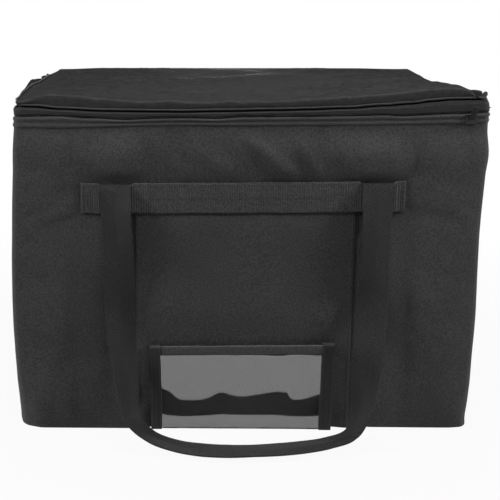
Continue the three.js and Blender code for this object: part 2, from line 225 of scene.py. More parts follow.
weave, across, along, turns, results = thread_group("plain weave", 0.0008)
across = math_node(weave, "SINE", math_node(weave, "MULTIPLY", across, turns))
along = math_node(weave, "SINE", math_node(weave, "MULTIPLY", along, turns))
over = math_node(weave, "GREATER_THAN", math_node(weave, "MULTIPLY", across, along), 0.0)
warp, weft = math_node(weave, "ABSOLUTE", across), math_node(weave, "ABSOLUTE", along)
crossing = add_node(weave, "ShaderNodeMix", {0: over, 2: warp, 3: weft}, data_type="FLOAT")
weave.links.new(crossing.outputs[0], results["Height"])
gap = math_node(weave, "SUBTRACT", 1.0, math_node(weave, "MAXIMUM", warp, weft))
weave.links.new(gap, results["Gap"])

ribs, across, along, turns, results = thread_group("webbing ribs", 0.0028)
column = math_node(ribs, "ABSOLUTE", math_node(ribs, "SINE", math_node(ribs, "MULTIPLY", across, turns)))
pick = math_node(ribs, "MULTIPLY", along, math_node(ribs, "MULTIPLY", turns, 2.0))
ridge = math_node(ribs, "ADD", math_node(ribs, "ABSOLUTE", math_node(ribs, "SINE", pick)), 0.6)
height = math_node(ribs, "MULTIPLY", math_node(ribs, "POWER", column, 0.5), ridge)
ribs.links.new(height, results["Height"])
gap = math_node(ribs, "SUBTRACT", 1.0, math_node(ribs, "MINIMUM", height, 1.0))
ribs.links.new(gap, results["Gap"])

twill, across, along, turns, results = thread_group("herringbone twill", 0.0024)
mirrored = math_node(twill, "ABSOLUTE", across)
slope = math_node(twill, "ADD", mirrored, math_node(twill, "MULTIPLY", along, 0.8))
wale = math_node(twill, "ABSOLUTE", math_node(twill, "SINE", math_node(twill, "MULTIPLY", slope, turns)))
twill.links.new(wale, results["Height"])
twill.links.new(math_node(twill, "SUBTRACT", 1.0, wale), results["Gap"])

tone_inputs = {"Vector": 0, "Scale": 9.0, "Grain": 480.0}
slow_tone, given, results = new_group("slow tone", tone_inputs, ["Tone", "Fuzz"])
cloud = noise_node(slow_tone, given["Vector"], given["Scale"], Detail=4.0, Roughness=0.6)
fuzz = noise_node(slow_tone, given["Vector"], given["Grain"], Detail=2.0, Roughness=0.65)
slow_tone.links.new(cloud[0], results["Tone"])
slow_tone.links.new(fuzz[0], results["Fuzz"])

crinkle, given, results = new_group("crinkle", {"Vector": 0, "Scale": 60.0}, ["Height"])
warpage = noise_node(crinkle, given["Vector"], 14.0, Detail=2.0)["Color"]
bent = add_node(crinkle, "ShaderNodeVectorMath", {0: given["Vector"], 1: warpage}, operation="ADD")
facets = add_node(crinkle, "ShaderNodeTexVoronoi", {"Vector": bent.outputs[0], "Scale": given["Scale"]})
crinkle.links.new(facets.outputs["Distance"], results["Height"])


# %% [markdown]
# A woven finish has a dark gap between threads, a little fuzz, tone that drifts slowly over the
# panel, and a soft sheen. Black nylon and polyester are never fully black in studio light: the
# cloth here is a dark grey whose threads catch light at a flat angle.

# %% Woven finishes
TONE_SHARE, SPECK_SHARE = 0.28, 0.78
GAP_TONE = 0.4
ROUGH_SPREAD = 0.07
FUZZ_RELIEF = 2.2


def grey(value):
    return (value, value, value * 1.01)


def woven_finish(
    name, tones, group, spacing, depth, roughness, sheen,
    tone_scale=9.0, gap=0.7, shine=0.25, grain=480.0,
):
    """Cloth or webbing: thread relief from one group, tone and fuzz from another."""
    dark, light = (grey(tone) for tone in tones)
    material, tree, output = new_material(name)
    place = add_node(tree, "ShaderNodeTexCoord").outputs
    inputs = {"Vector": place["UV"], "Spacing": spacing}
    threads = add_node(tree, "ShaderNodeGroup", inputs, node_tree=group).outputs
    inputs = {"Vector": place["Object"], "Scale": tone_scale, "Grain": grain}
    tone = add_node(tree, "ShaderNodeGroup", inputs, node_tree=slow_tone).outputs
    drift = math_node(tree, "MULTIPLY", map_range(tree, tone["Tone"], 0.3, 0.7, 0.0, 1.0), TONE_SHARE)
    shade = math_node(tree, "ADD", drift, map_range(tree, tone["Fuzz"], 0.4, 0.6, 0.0, SPECK_SHARE))
    gaps = math_node(tree, "MULTIPLY", threads["Gap"], gap)
    colour = mix_colour(tree, gaps, mix_colour(tree, shade, dark, light), [c * GAP_TONE for c in dark])
    rough = map_range(tree, tone["Fuzz"], 0.3, 0.7, roughness - ROUGH_SPREAD, roughness + ROUGH_SPREAD)
    fuzz_height = math_node(tree, "MULTIPLY", tone["Fuzz"], FUZZ_RELIEF)
    relief = math_node(tree, "ADD", threads["Height"], fuzz_height)
    bump = add_node(tree, "ShaderNodeBump", {"Height": relief, "Distance": depth, "Strength": 0.6})
    shader = add_node(tree, "ShaderNodeBsdfPrincipled", {
        "Base Color": colour, "Roughness": rough, "Normal": bump.outputs[0],
        "Sheen Weight": sheen, "Sheen Roughness": 0.45, "Specular IOR Level": shine,
    })
    tree.links.new(shader.outputs[0], output.inputs["Surface"])
    return material


def tape_finish(name, tones, rib=0.0016, roughness=0.66, sheen=0.1):
    return woven_finish(name, tones, ribs, rib, 0.0004, roughness, sheen)


polyester = woven_finish("black woven polyester", (0.012, 0.045), weave, 0.0009, 0.0003, 0.72, 0.12)
# Painted shade: the lid's copy of the polyester is darker than the walls', to hold down the light its top
# catches.
lid_polyester = woven_finish(
    "black woven polyester of the lid", (0.003, 0.019), weave, 0.0009, 0.00025, 0.6, 0.0,
    tone_scale=5.0, shine=0.3, grain=190.0,
)
patch_polyester = woven_finish(
    "black woven polyester of the patch", (0.011, 0.042), weave, 0.0007, 0.0003, 0.7, 0.12,
)
hem_tape = tape_finish("black grosgrain tape", (0.016, 0.046))
# Painted highlight: a paler copy of the binding tape, used on the window's top binding for the light it
# catches facing up.
binding_tape = tape_finish("black binding tape", (0.021, 0.062))
# Painted shade: this very dark tape goes on the zipper's flap, on the window's side bindings and in the
# lid's groove, where its darkness stands in for shade as well as for black cloth.
dark_tape = tape_finish("black folded tape", (0.004, 0.014), 0.0018)
# Painted shade: this tape is darkened beyond black cloth, standing for the shade on the inner face of the
# loose tape.
shade_painted_tape = tape_finish("black raw tape darkened as painted shade", (0.002, 0.007), 0.0018, 0.9, 0.0)
# Painted highlight: this tape is paler than the others and stands for the bright line of light along the
# lid's left edge.
highlight_tape = tape_finish("black tape painted pale as a highlight", (0.022, 0.065), roughness=0.7)
band_webbing = woven_finish(
    "black ribbed webbing", (0.012, 0.052), ribs, 0.0029, 0.001, 0.6, 0.1, gap=0.95,
)
strap_webbing = woven_finish(
    "black herringbone webbing", (0.0018, 0.0165), twill, 0.0032, 0.001, 0.62, 0.05, gap=0.95,
)


# %% Thread, foam, foil, vinyl, zipper and slider
def plain_finish(name, base, roughness, metallic=0.0, **values):
    """A Principled material, its tree and shader, and the piece's own place for textures."""
    material, tree, output = new_material(name)
    inputs = {"Base Color": (*base, 1), "Roughness": roughness, "Metallic": metallic}
    inputs.update({label.replace("_", " "): value for label, value in values.items()})
    shader = add_node(tree, "ShaderNodeBsdfPrincipled", inputs)
    tree.links.new(shader.outputs[0], output.inputs["Surface"])
    return material, tree, shader, add_node(tree, "ShaderNodeTexCoord").outputs["Object"]


def add_relief(tree, shader, height, depth, strength=0.5):
    bump = add_node(tree, "ShaderNodeBump", {"Height": height, "Distance": depth, "Strength": strength})
    tree.links.new(bump.outputs[0], shader.inputs["Normal"])


def add_tone(tree, shader, value, dark, light):
    tree.links.new(mix_colour(tree, value, dark, light), shader.inputs["Base Color"])


thread, tree, shader, place = plain_finish("black sewing thread", grey(0.02), 0.6)
ply = noise_node(tree, place, 1500.0)[0]
add_tone(tree, shader, ply, grey(0.01), grey(0.03))
add_relief(tree, shader, ply, 0.0002)

foam, tree, shader, place = plain_finish("white closed-cell foam", (0.7, 0.69, 0.66), 0.9)
cells = add_node(tree, "ShaderNodeTexVoronoi", {"Vector": place, "Scale": 700.0}).outputs["Distance"]
add_tone(tree, shader, cells, (0.74, 0.73, 0.7), (0.55, 0.54, 0.51))
add_relief(tree, shader, cells, 0.0004, 0.7)

foil, tree, shader, place = plain_finish("silver foil lining", (0.62, 0.63, 0.65), 0.32, 0.85)
large, small = (
    add_node(tree, "ShaderNodeGroup", {"Vector": place, "Scale": scale}, node_tree=crinkle).outputs[0]
    for scale in (55.0, 210.0)
)
folds = math_node(tree, "ADD", large, math_node(tree, "MULTIPLY", small, 0.35))
add_relief(tree, shader, folds, 0.0035, 0.6)
add_tone(tree, shader, large, (0.7, 0.71, 0.73), (0.5, 0.51, 0.53))
tree.links.new(map_range(tree, small, 0.0, 1.0, 0.24, 0.42), shader.inputs["Roughness"])

vinyl, tree, shader, place = plain_finish(
    "clear window vinyl", (0.9, 0.91, 0.9), 0.06,
    Transmission_Weight=1.0, IOR=1.5, Coat_Weight=1.0, Coat_Roughness=0.03, Coat_IOR=1.6,
)
add_relief(tree, shader, noise_node(tree, place, 26.0, Detail=1.5)[0], 0.001, 0.1)

zip_nylon, tree, shader, place = plain_finish("black zipper nylon", grey(0.014), 0.38)
scuff = noise_node(tree, place, 300.0, Detail=3.0)[0]
add_tone(tree, shader, scuff, grey(0.01), grey(0.024))

enamel, tree, shader, place = plain_finish(
    "black enamelled metal", grey(0.012), 0.4, 0.3, Coat_Weight=0.15, Coat_Roughness=0.3,
)
wear = noise_node(tree, place, 400.0, Detail=4.0)[0]
add_tone(tree, shader, wear, grey(0.004), grey(0.013))
tree.links.new(map_range(tree, wear, 0.3, 0.7, 0.24, 0.42), shader.inputs["Roughness"])
print("finishes:", len(bpy.data.materials))

# %% [markdown]
# ## Making cloth
#
# A sheet of cloth starts as a grid primitive. Each of its points is moved to its place on the bag,
# the grid's UV map is set in metres along the cloth, and Solidify gives it its thickness inwards.
# The helper below does that for every panel, tape and strap, so only the place of a point differs.

# %% Sheets from grids
HALF_W, HALF_D = 279.5, 178.0
CORNER = 9.0
STRAIGHT = HALF_W - CORNER
BEND = STRAIGHT + CORNER * math.pi / 2
WALL_TOP, HEM_BOTTOM, HEM_TOP = 385.0, 385.3, 394.6
COIL_LOW, COIL_HIGH, FLAP_LOW, FLAP_HIGH = 394.9, 397.3, 397.6, 404.7
LID_LOW, LID_TOP = 405.0, 416.0


def ease(x, stops):
    """A smooth curve through (x, value) stops."""
    if x <= stops[0][0]:
        return stops[0][1]
    for (a, va), (b, vb) in zip(stops, stops[1:]):
        if x <= b:
            t = (x - a) / (b - a)
            return va + (vb - va) * t * t * (3 - 2 * t)
    return stops[-1][1]


def glide(x, stops):
    """A smooth curve through (x, value) stops that keeps its slope at each of them."""
    if x <= stops[0][0]:
        return stops[0][1]
    if x >= stops[-1][0]:
        return stops[-1][1]
    k = next(i for i in range(len(stops) - 1) if x <= stops[i + 1][0])
    slopes = []
    for i in (k, k + 1):
        a, b = stops[max(i - 1, 0)], stops[min(i + 1, len(stops) - 1)]
        slopes.append((b[1] - a[1]) / (b[0] - a[0]))
    (x0, v0), (x1, v1) = stops[k], stops[k + 1]
    span = x1 - x0
    t = (x - x0) / span
    rise = v0 * (2 * t**3 - 3 * t**2 + 1) + v1 * (3 * t**2 - 2 * t**3)
    return rise + span * (slopes[0] * (t**3 - 2 * t**2 + t) + slopes[1] * (t**3 - t**2))


def steps(*stops):
    """Numbers from stop to stop: (start, end, count), (end, count), ..."""
    values = [stops[0][0]]
    for *_, end, count in stops:
        start = values[-1]
        values += [start + (end - start) * i / count for i in range(1, count + 1)]
    return values


def ordered(values, forward):
    """The values as they are, or from last to first: the order decides which way a sheet faces."""
    return values if forward else values[::-1]


def lone(obj):
    """Makes an object the only selected one."""
    bpy.ops.object.select_all(action="DESELECT")
    obj.select_set(True)
    bpy.context.view_layer.objects.active = obj


def apply_modifier(obj, kind, **settings):
    """Adds a modifier and applies it."""
    lone(obj)
    modifier = obj.modifiers.new(kind.lower(), kind)
    for key, value in settings.items():
        setattr(modifier, key, value)
    bpy.ops.object.modifier_apply(modifier=modifier.name)


def sheet_grid(name, us, vs, place):
    """A grid whose point (u, v) lies at place(u, v), in millimetres, with its UV map in metres."""
    bpy.ops.object.select_all(action="DESELECT")
    bpy.ops.mesh.primitive_grid_add(x_subdivisions=len(us) - 1, y_subdivisions=len(vs) - 1, size=2)
    obj = bpy.context.object
    obj.name = obj.data.name = name
    uv = obj.data.uv_layers.active.data
    flat = {}
    for vertex in obj.data.vertices:
        i = round((vertex.co.x + 1) / 2 * (len(us) - 1))
        j = round((vertex.co.y + 1) / 2 * (len(vs) - 1))
        flat[vertex.index] = (us[i] * MM, vs[j] * MM)
        vertex.co = Vector(place(us[i], vs[j])) * MM
    for loop in obj.data.loops:
        uv[loop.index].uv = flat[loop.vertex_index]
    return obj


def thicken(obj, thickness, flip=False):
    """Gives a sheet its thickness, behind its outer face."""
    if flip:
        obj.data.flip_normals()
    apply_modifier(obj, "SOLIDIFY", thickness=thickness * MM, offset=-1.0)


def soften(obj, width, segments=2, angle=50):
    """Bevels the edges that are sharper than an angle, by a width in millimetres."""
    settings = {"segments": segments, "limit_method": "ANGLE", "angle_limit": math.radians(angle)}
    apply_modifier(obj, "BEVEL", width=width * MM, **settings)


def flat_uv(obj):
    """Lays out the UV map as the piece is seen from above, in metres."""
    for loop, corner in zip(obj.data.uv_layers.active.data, obj.data.loops):
        loop.uv = obj.data.vertices[corner.vertex_index].co.xy


def scale_uv(obj, u, v):
    """Brings a UV map to metres where its grid was counted in something else."""
    for loop in obj.data.uv_layers.active.data:
        loop.uv = (loop.uv[0] * u, loop.uv[1] * v)


def edit_all(obj, operator, **settings):
    """Runs an edit-mode operator on the whole mesh."""
    lone(obj)
    bpy.ops.object.mode_set(mode="EDIT")
    bpy.ops.mesh.select_all(action="SELECT")
    operator(**settings)
    bpy.ops.object.mode_set(mode="OBJECT")


def cut_through(shape, spot, normal):
    """Cuts a bmesh along a plane and keeps both parts."""
    everything = [*shape.verts, *shape.edges, *shape.faces]
    bmesh.ops.bisect_plane(shape, geom=everything, plane_co=spot, plane_no=normal)


def solid_copy(name, node, bevel, segments, angle):
    """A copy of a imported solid: doubles merged, flat faces joined, edges bevelled."""
    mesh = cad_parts[node].data.copy()
    obj = bpy.data.objects.new(name, mesh)
    bpy.context.collection.objects.link(obj)
    shape = bmesh.new()
    shape.from_mesh(mesh)
    bmesh.ops.remove_doubles(shape, verts=shape.verts, dist=1e-6)
    bmesh.ops.dissolve_limit(shape, angle_limit=math.radians(2), verts=shape.verts, edges=shape.edges)
    bmesh.ops.recalc_face_normals(shape, faces=shape.faces)
    shape.to_mesh(mesh)
    shape.free()
    soften(obj, bevel, segments, angle)
    return obj


def dress(obj, material, body, *nodes, slot=None, angle=50):
    """Finish, smooth shading, body and replaced nodes of a piece that is done. The slot is not used."""
    obj.data.materials.clear()
    obj.data.materials.append(material)
    lone(obj)
    bpy.ops.object.shade_smooth_by_angle(angle=math.radians(angle))
    if body:
        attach(obj, body)
    if nodes:
        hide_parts(*nodes)


def tape(name, us, vs, place, thickness, material, body, *nodes, soft=0, slot="binding", angle=70):
    """A strip of tape: a sheet with its thickness, its rounded edges and its finish."""
    strip = sheet_grid(name, us, vs, place)
    thicken(strip, thickness)
    if soft:
        soften(strip, soft)
    dress(strip, material, body, *nodes, slot=slot, angle=angle)
    return strip


def bumpy(x, y, z, size, amount):
    """Gentle, even noise in millimetres."""
    return amount * noise.noise(Vector((x / size, y / size, z / size)))


# %% [markdown]
# Cloth that is sewn along its edges and pushed out from behind swells between its seams. Blender's
# Cloth does that with pressure and no gravity: the sewn points are pinned, the rest swell for a few
# frames, and the result is kept within what the foam behind would allow.

# %% Letting a panel swell
def swell(obj, sewn, pressure, slack, most, frames=16):
    """Swells a sheet between its sewn points; sewn(point in mm) says which points are held."""
    rest = [(v.co.copy(), v.normal.copy()) for v in obj.data.vertices]
    held = [v.index for v in obj.data.vertices if sewn(*(v.co / MM))]
    obj.vertex_groups.new(name="sewn").add(held, 1.0, "REPLACE")
    lone(obj)
    cloth = obj.modifiers.new("swell", "CLOTH")
    cloth.settings.vertex_group_mass = "sewn"
    cloth.settings.quality = 4
    cloth.settings.use_pressure = True
    cloth.settings.uniform_pressure_force = pressure
    cloth.settings.shrink_min = -slack
    cloth.settings.bending_stiffness = 1.5
    cloth.settings.effector_weights.gravity = 0
    cloth.point_cache.frame_start, cloth.point_cache.frame_end = 1, frames
    for frame_number in range(1, frames + 1):
        bpy.context.scene.frame_set(frame_number)
    bpy.ops.object.modifier_apply(modifier=cloth.name)
    bpy.context.scene.frame_set(1)
    obj.vertex_groups.clear()
    furthest = 0
    for vertex, (place, normal) in zip(obj.data.vertices, rest):
        out = (vertex.co - place).dot(normal) / MM
        out = most * math.tanh(max(out, 0) / most)
        furthest = max(furthest, out)
        vertex.co = place + normal * out * MM
    print(obj.name, "swelled", round(furthest, 2), "mm")


# %% [markdown]
# ## Walls
#
# Each wall is fabric over foam with a foil lining. The fabric goes round the wall's upright corners
# and turns under at the bottom. On the carrier the front edge of the lid and the zipper wave a
# little, because the bag is packed empty. These tables hold those waves, measured in millimetres
# above where the pattern pieces would lie.

# %% Waves along the rim
SEAM_WAVE = [
    (-280, 0), (-230, -0.5), (-120, 2), (-71, 2.8), (0, 2.6), (118, 3.6), (232, 5.5), (272, 7),
]
ZIP_WAVE = [
    (-280, 3.5), (-227, 4.4), (-190, 2), (-147, 0.2), (-107, 2), (-72, 2.4), (-40, 1.6),
    (-8, 3.9), (70, 4.4), (118, 5.2), (160, 6.4), (178, 5.4), (238, 8), (272, 9.5),
]
LID_WAVE = [
    (-280, 7), (-255, 6.5), (-227, 4), (-170, 1.6), (-107, 1), (-80, 0.8), (-40, 1.6), (38, 3),
    (70, 4), (118, 5.7), (160, 8.8), (190, 11), (214, 14), (238, 16), (272, 16.5),
]
TOP_WAVE = [
    (-280, 5), (-250, 10), (-225, 8.6), (-208, 7.6), (-170, 3.6), (-126, 0.6), (-95, 2.5),
    (-71, 0), (-48, 0), (-24, 2.2), (-9, 0.6), (4, 2.2), (17, 1), (39, 2), (70, 4), (118, 7),
    (160, 10), (190, 13.5), (214, 17), (240, 19), (256, 18), (272, 10),
]


def front_share(y):
    """1 at the front, easing to 0 past the middle of the sides."""
    return ease(y, [(-170, 1), (-60, 0.45), (60, 0)])


def wave(table, x, y):
    return ease(x, table) * front_share(y)


def rim_z(z, x, y):
    """A height between the wall's top and the lid, moved with the waves there."""
    seam, zip_line, lid = (wave(table, x, y) for table in (SEAM_WAVE, ZIP_WAVE, LID_WAVE))
    rise = [(WALL_TOP - 60, 0), (HEM_BOTTOM, seam), (HEM_TOP + 0.2, zip_line)]
    return z + ease(z, [*rise, (COIL_HIGH, zip_line), (LID_LOW, lid)])


# %% The outline of a wall, seen from above
SIDE_MEET = 154.8
WALLS = (("front", False), ("back", True))


def corner_arc(inset):
    """The radius of an upright corner behind the outer face, and the length round it."""
    radius = max(CORNER - inset, 0.2)
    return radius, radius * math.pi / 2


def wall_path(s, inset=0.0, last=-SIDE_MEET):
    """Point and outward normal s mm along a wall with its two returns; s is 0 in the middle."""
    radius, arc = corner_arc(inset)
    side, t = (1 if s > 0 else -1), abs(s)
    if t <= STRAIGHT:
        return (side * t, -(HALF_D - inset)), (0.0, -1.0)
    if t <= STRAIGHT + arc:
        a = (t - STRAIGHT) / radius
        point = (side * (STRAIGHT + radius * math.sin(a)), -(HALF_D - CORNER) - radius * math.cos(a))
        return point, (side * math.sin(a), -math.cos(a))
    y = -(HALF_D - CORNER) + (t - STRAIGHT - arc)
    return (side * (HALF_W - inset), min(y, last)), (float(side), 0.0)


def wall_stations(inset=0.0, pitch=6.0):
    """Places along a wall: even on the straight part and closer round the corners."""
    bend = STRAIGHT + corner_arc(inset)[1]
    tail = bend + (HALF_D - CORNER - SIDE_MEET)
    count = round(2 * STRAIGHT / pitch)
    return steps((-tail, -bend, 3), (-STRAIGHT, 6), (STRAIGHT, count), (bend, 6), (tail, 3))


def on_wall(x, y, z, back):
    """A point of the front wall, or the same point of the back wall, which is turned round."""
    return (-x, -y, z) if back else (x, y, z)


BAND_LOW, BAND_HIGH, BAND_LEFT, BAND_RIGHT = 281.0, 319.0, -204.0, 189.5
STRAP_MIDDLES = (-161.5, 154.5)
PATCH_LEFT, PATCH_RIGHT, PATCH_LOW, PATCH_HIGH = -137.5, 130.0, 0.3, 316.0
LEFT_BULGE = [
    (0, 1.6), (18, 2.0), (36, 3.8), (62, 8.0), (100, 12.4), (154, 13.6), (197, 13.2),
    (270, 10.6), (330, 7.6), (385, 4.8), (395, 3.3), (403, 2.6), (409, 0.8), (420, 0.4),
]
RIGHT_BULGE = [
    (0, -1.6), (15, -1.2), (36, 0.8), (60, 3.0), (100, 4.9), (154, 5.9), (206, 5.0),
    (258, 4.3), (335, 6.8), (385, 6.2), (396, 6.0), (402, 4.0), (408, 1.0), (416, 0.2),
]
BACK_FULLNESS = 0.35


def corner_bulge(x, z, back=False):
    """How far a corner stands out sideways: the left front one most, the back ones least."""
    if back:
        return BACK_FULLNESS * glide(z, RIGHT_BULGE)
    return glide(z, LEFT_BULGE if x < 0 else RIGHT_BULGE)


def corner_out(x, z, back=False):
    """How far a point of the front or back wall moves along x towards its bulging corner."""
    return corner_bulge(x, z, back) * ease(abs(x), [(150, 0), (268, 1)]) * (1 if x > 0 else -1)


def crease(x, z, start, end, width, height):
    """One soft ridge between two points of a wall or the lid, fading at both ends."""
    a, b, p = Vector(start), Vector(end), Vector((x, z))
    along = (p - a).dot(b - a) / (b - a).length_squared
    if not -0.3 < along < 1.3:
        return 0.0
    aside = (p - a - (b - a) * along).length
    ends = ease(along, [(-0.3, 0), (0.25, 1), (0.8, 1), (1.3, 0)])
    return height * ends * math.exp(-((aside / width) ** 2))


FRONT_CREASES = [
    ((3, 368), (57, 322), 7.5, 5.0),
    ((60, 368), (88, 322), 6, 4.2),
    ((-52, 370), (12, 328), 8, -2.6),
    ((-72, 362), (-26, 332), 12, 2.6),
    ((108, 374), (122, 330), 9, 2.0),
    ((-256, 265), (-208, 284), 6, 1.6),
    ((-232, 372), (-190, 345), 12, 1.3),
    ((250, 120), (205, 190), 16, 1.4),
    ((236, 345), (204, 290), 13, 1.2),
    ((-250, 60), (-190, 30), 16, 1.5),
]


def front_relief(x, z):
    """Creases and slow unevenness of the front fabric, none of it behind the sewn-on trim."""
    trimmed = BAND_LEFT - 3 < x < BAND_RIGHT + 3
    if trimmed and z < BAND_HIGH + 2:
        return 0.0
    near = min(1.0, (z - BAND_HIGH - 2) / 8) if trimmed else ease(abs(x + 7), [(200, 0), (214, 1)])
    edges = ease(z, [(6, 0), (30, 1), (368, 1), (384, 0)]) * ease(abs(x), [(262, 1), (279, 0.2)])
    lumps = 1.1 + bumpy(x, 0, z, 55, 1.7) + bumpy(x, 7, z, 21, 0.6)
    shoulder = 2.6 * ease(z, [(325, 0.2), (352, 1), (383, 0)]) * ease(x, [(-60, 0.25), (70, 1)])
    pull = max(ease(abs(x - middle), [(12, 1), (40, 0)]) for middle in STRAP_MIDDLES)
    overhang = 5.2 * pull * ease(z, [(314, 0), (334, 1), (352, 1), (380, 0)])
    folds = sum(crease(x, z, *ridge) for ridge in FRONT_CREASES)
    return near * edges * max(lumps + folds, 0.0) + near * (shoulder + overhang)


def front_foot(x, z):
    """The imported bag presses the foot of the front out, on both sides of the patch."""
    beside = max(ease(x, [(-146, 1), (-126, 0)]), 0.42 * ease(x, [(132, 0), (160, 1)]))
    return 11.5 * beside * ease(z, [(2, 1), (16, 0.95), (110, 0)]) * ease(abs(x), [(255, 1), (279, 0.5)])


# %% The fabric of the front and back walls
# Up the cloth: from the turned-under edge, round the bottom, and up the wall.
TURN = 2.6
TURN_ARC = TURN * math.pi / 2
rise_steps = steps((-TURN_ARC - 5, -TURN_ARC, 2), (0, 6), (30, 5), (340, 52), (WALL_TOP - TURN, 8))


def bottom_turn(t):
    """How far out and how high cloth is at t; t is 0 where it leaves the rounded bottom edge."""
    if t < -TURN_ARC:
        return -TURN + (t + TURN_ARC), 0.0
    if t < 0:
        a = -t / TURN
        return -TURN * (1 - math.cos(a)), TURN * (1 - math.sin(a))
    return 0.0, TURN + t


def skin_point(s, t, back):
    """A wall's outer fabric: s goes along the wall and t up the cloth."""
    out, z = bottom_turn(t)
    (x, y), (nx, ny) = wall_path(s)
    out = max(out, -8.5) if abs(s) > STRAIGHT else out
    z = z if back else rim_z(z, x, y)
    rise = ease(z, [(0, 0.3), (9, 1)])
    if back:
        beside = ease(abs(x), [(203, 0), (225, 1), (262, 1), (279, 0)])
        extra = max(rise * beside * (0.9 + bumpy(x, 40, z, 60, 1.4)), 0)
    else:
        extra = rise * front_relief(x, z) + front_foot(x, z)
    x += nx * (out + extra) + rise * corner_out(x, z, back)
    return on_wall(x, y + ny * (out + extra), z, back)


SEWN_TOP, SEWN_LOW = WALL_TOP - 8, 14


def back_sewn(x, y, z):
    """Held points: all edges, and all that lies behind the band."""
    edge = z > SEWN_TOP or z < SEWN_LOW or abs(x) > HALF_W - 4
    return edge or (BAND_LEFT < x < BAND_RIGHT and BAND_LOW - 2 < z < BAND_HIGH + 1)


def front_sewn(x, y, z):
    """The same points, and all that lies behind the patch."""
    return back_sewn(x, y, z) or (PATCH_LEFT < x < PATCH_RIGHT and z < BAND_HIGH)


def side_sewn(x, y, z):
    return z > SEWN_TOP or z < SEWN_LOW or abs(y) < 8 or abs(y) > 148


for wall, backwards in WALLS:
    place = partial(skin_point, back=backwards)
    skin = sheet_grid(f"{wall}_wall_fabric", wall_stations(), rise_steps, place)
    swell(skin, back_sewn if backwards else front_sewn, 2.5, 0.004, 3.0)
    thicken(skin, 1.6)
    dress(skin, polyester, f"{wall}_wall", f"{wall}_outer_fabric", slot="outer_fabric")
    print(skin.name, len(skin.data.polygons), "faces")

# %% [markdown]
# Each side wall is two halves that fold on an upright line down the middle. Their fabric is flat
# at that line and at the corners, and a little full between. The left and right halves follow the
# front corners outwards, so that no step shows where side and front meet.

# %% The fabric of the side halves
HALVES = {
    "left_rear": (-1, 1),
    "left_front": (-1, -1),
    "right_rear": (1, 1),
    "right_front": (1, -1),
}
side_steps = steps((0.3, 6, 2), (148, 24), (154.2, 2))


def side_flare(side, y, z):
    """How far a side wall stands out: it meets the bulge of the front or back corner."""
    return corner_bulge(side, z, y >= 0) * min(abs(y) / 160, 1.0) * ease(z, [(0, 0.3), (9, 1)])


for half, (side, end) in HALVES.items():

    def side_point(d, t):
        """Fabric of a side half; d is the distance from the middle fold and t goes up the cloth."""
        out, z = bottom_turn(t)
        y = end * d
        z = rim_z(z, side * HALF_W, y)
        rise = ease(z, [(0, 0), (12, 1), (360, 1), (384, 0)])
        rise *= ease(d, [(0, 0), (50, 1), (110, 1), (154, 0)])
        relief = rise * max(0.7 + bumpy(side * 90, y, z, 48, 1.1), 0)
        return (side * (HALF_W + out + relief + side_flare(side, y, z)), y, z)

    across = ordered(side_steps, side * end > 0)
    skin = sheet_grid(f"{half}_fabric", across, rise_steps, side_point)
    swell(skin, side_sewn, 2.0, 0.003, 1.2)
    thicken(skin, 1.6)
    dress(skin, polyester, half, f"{half}_outer_fabric", slot="outer_fabric")


# %% [markdown]
# When a side half folds in, a wedge opens at the outside of the corner. On the real bag the cloth
# runs on round the corner. Here a quarter roll of cloth, centred on the fold line, is carried by
# each half and lies inside the corner until the half turns and draws it out.

# %% Corner rolls
ROLL_X, ROLL_Y, ROLL_RADIUS = 268.5, 154.5, 8.9
ROLL_PER_DEGREE = 0.155

for half, (side, end) in HALVES.items():
    middle = Vector((side * ROLL_X, end * ROLL_Y, 0))

    def roll_point(angle, z):
        """A strip of a tube round the fold line at a corner, hidden in the corner at rest."""
        a = math.radians(angle)
        return middle + Vector((side * ROLL_RADIUS * math.cos(a), end * ROLL_RADIUS * math.sin(a), z))

    angles = ordered(steps((0, 88, 14)), side * end < 0)
    roll = sheet_grid(f"{half}_corner_roll", angles, steps((3, 383, 12)), roll_point)
    scale_uv(roll, ROLL_PER_DEGREE, 1)
    thicken(roll, 1.2, flip=True)
    dress(roll, polyester, half, slot="outer_fabric")


# %% [markdown]
# ## The lid's shape
#
# The lid's top is seen at a very flat angle, so its edge makes the outline of the bag: a wavy
# front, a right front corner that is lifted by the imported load, and a back edge that rides up.
# Its foam, its cap and its piping all follow these heights.

# %% The lid's height over its plan
LEFT_CREST = [(-176, 1), (-120, 5), (-68, 7), (-2, 4), (60, 4), (178, 3.5)]
RIGHT_CREST = [
    (-178, 5.5), (-156, 7.4), (-81, 9.3), (-40, 6.5), (5, 3.9), (44, -0.5), (75, 0.4),
    (107, 2.4), (178, 4.5),
]


def lid_lift(x, y):
    """How far the lid's top lies above its plain height."""
    front = ease(x, TOP_WAVE) * ease(y, [(-172, 1), (-120, 0.72), (-30, 0.3), (80, 0)])
    back = ease(y, [(-60, 0), (165, 5.4)]) * ease(abs(x), [(200, 1), (279, 0.65)])
    near = ease(y, [(-178, 0.1), (-100, 0.6)])
    right = (ease(y, RIGHT_CREST) - front - back) * ease(x, [(185, 0), (256, near), (279, 1)])
    left = (ease(y, LEFT_CREST) - front - back) * ease(x, [(-279, 1), (-235, 0)])
    return front + back + right + left


LID_CREASES = [
    ((-262, 112), (-120, 96), 13, 5.5),
    ((-262, 62), (-130, 56), 12, -5),
    ((-258, 16), (-90, 8), 13, 6),
    ((-240, -60), (-60, -84), 20, -4),
    ((-220, -110), (-60, -128), 16, 4.5),
    ((262, -20), (60, -95), 13, 6),
    ((262, -70), (110, -125), 12, -4),
    ((262, 70), (130, 36), 12, 4.5),
    ((250, 128), (110, 112), 12, 4),
    ((262, -118), (90, -150), 9, 5),
    ((-40, -112), (60, -150), 14, 4),
    ((-60, 20), (90, 60), 26, 3),
]


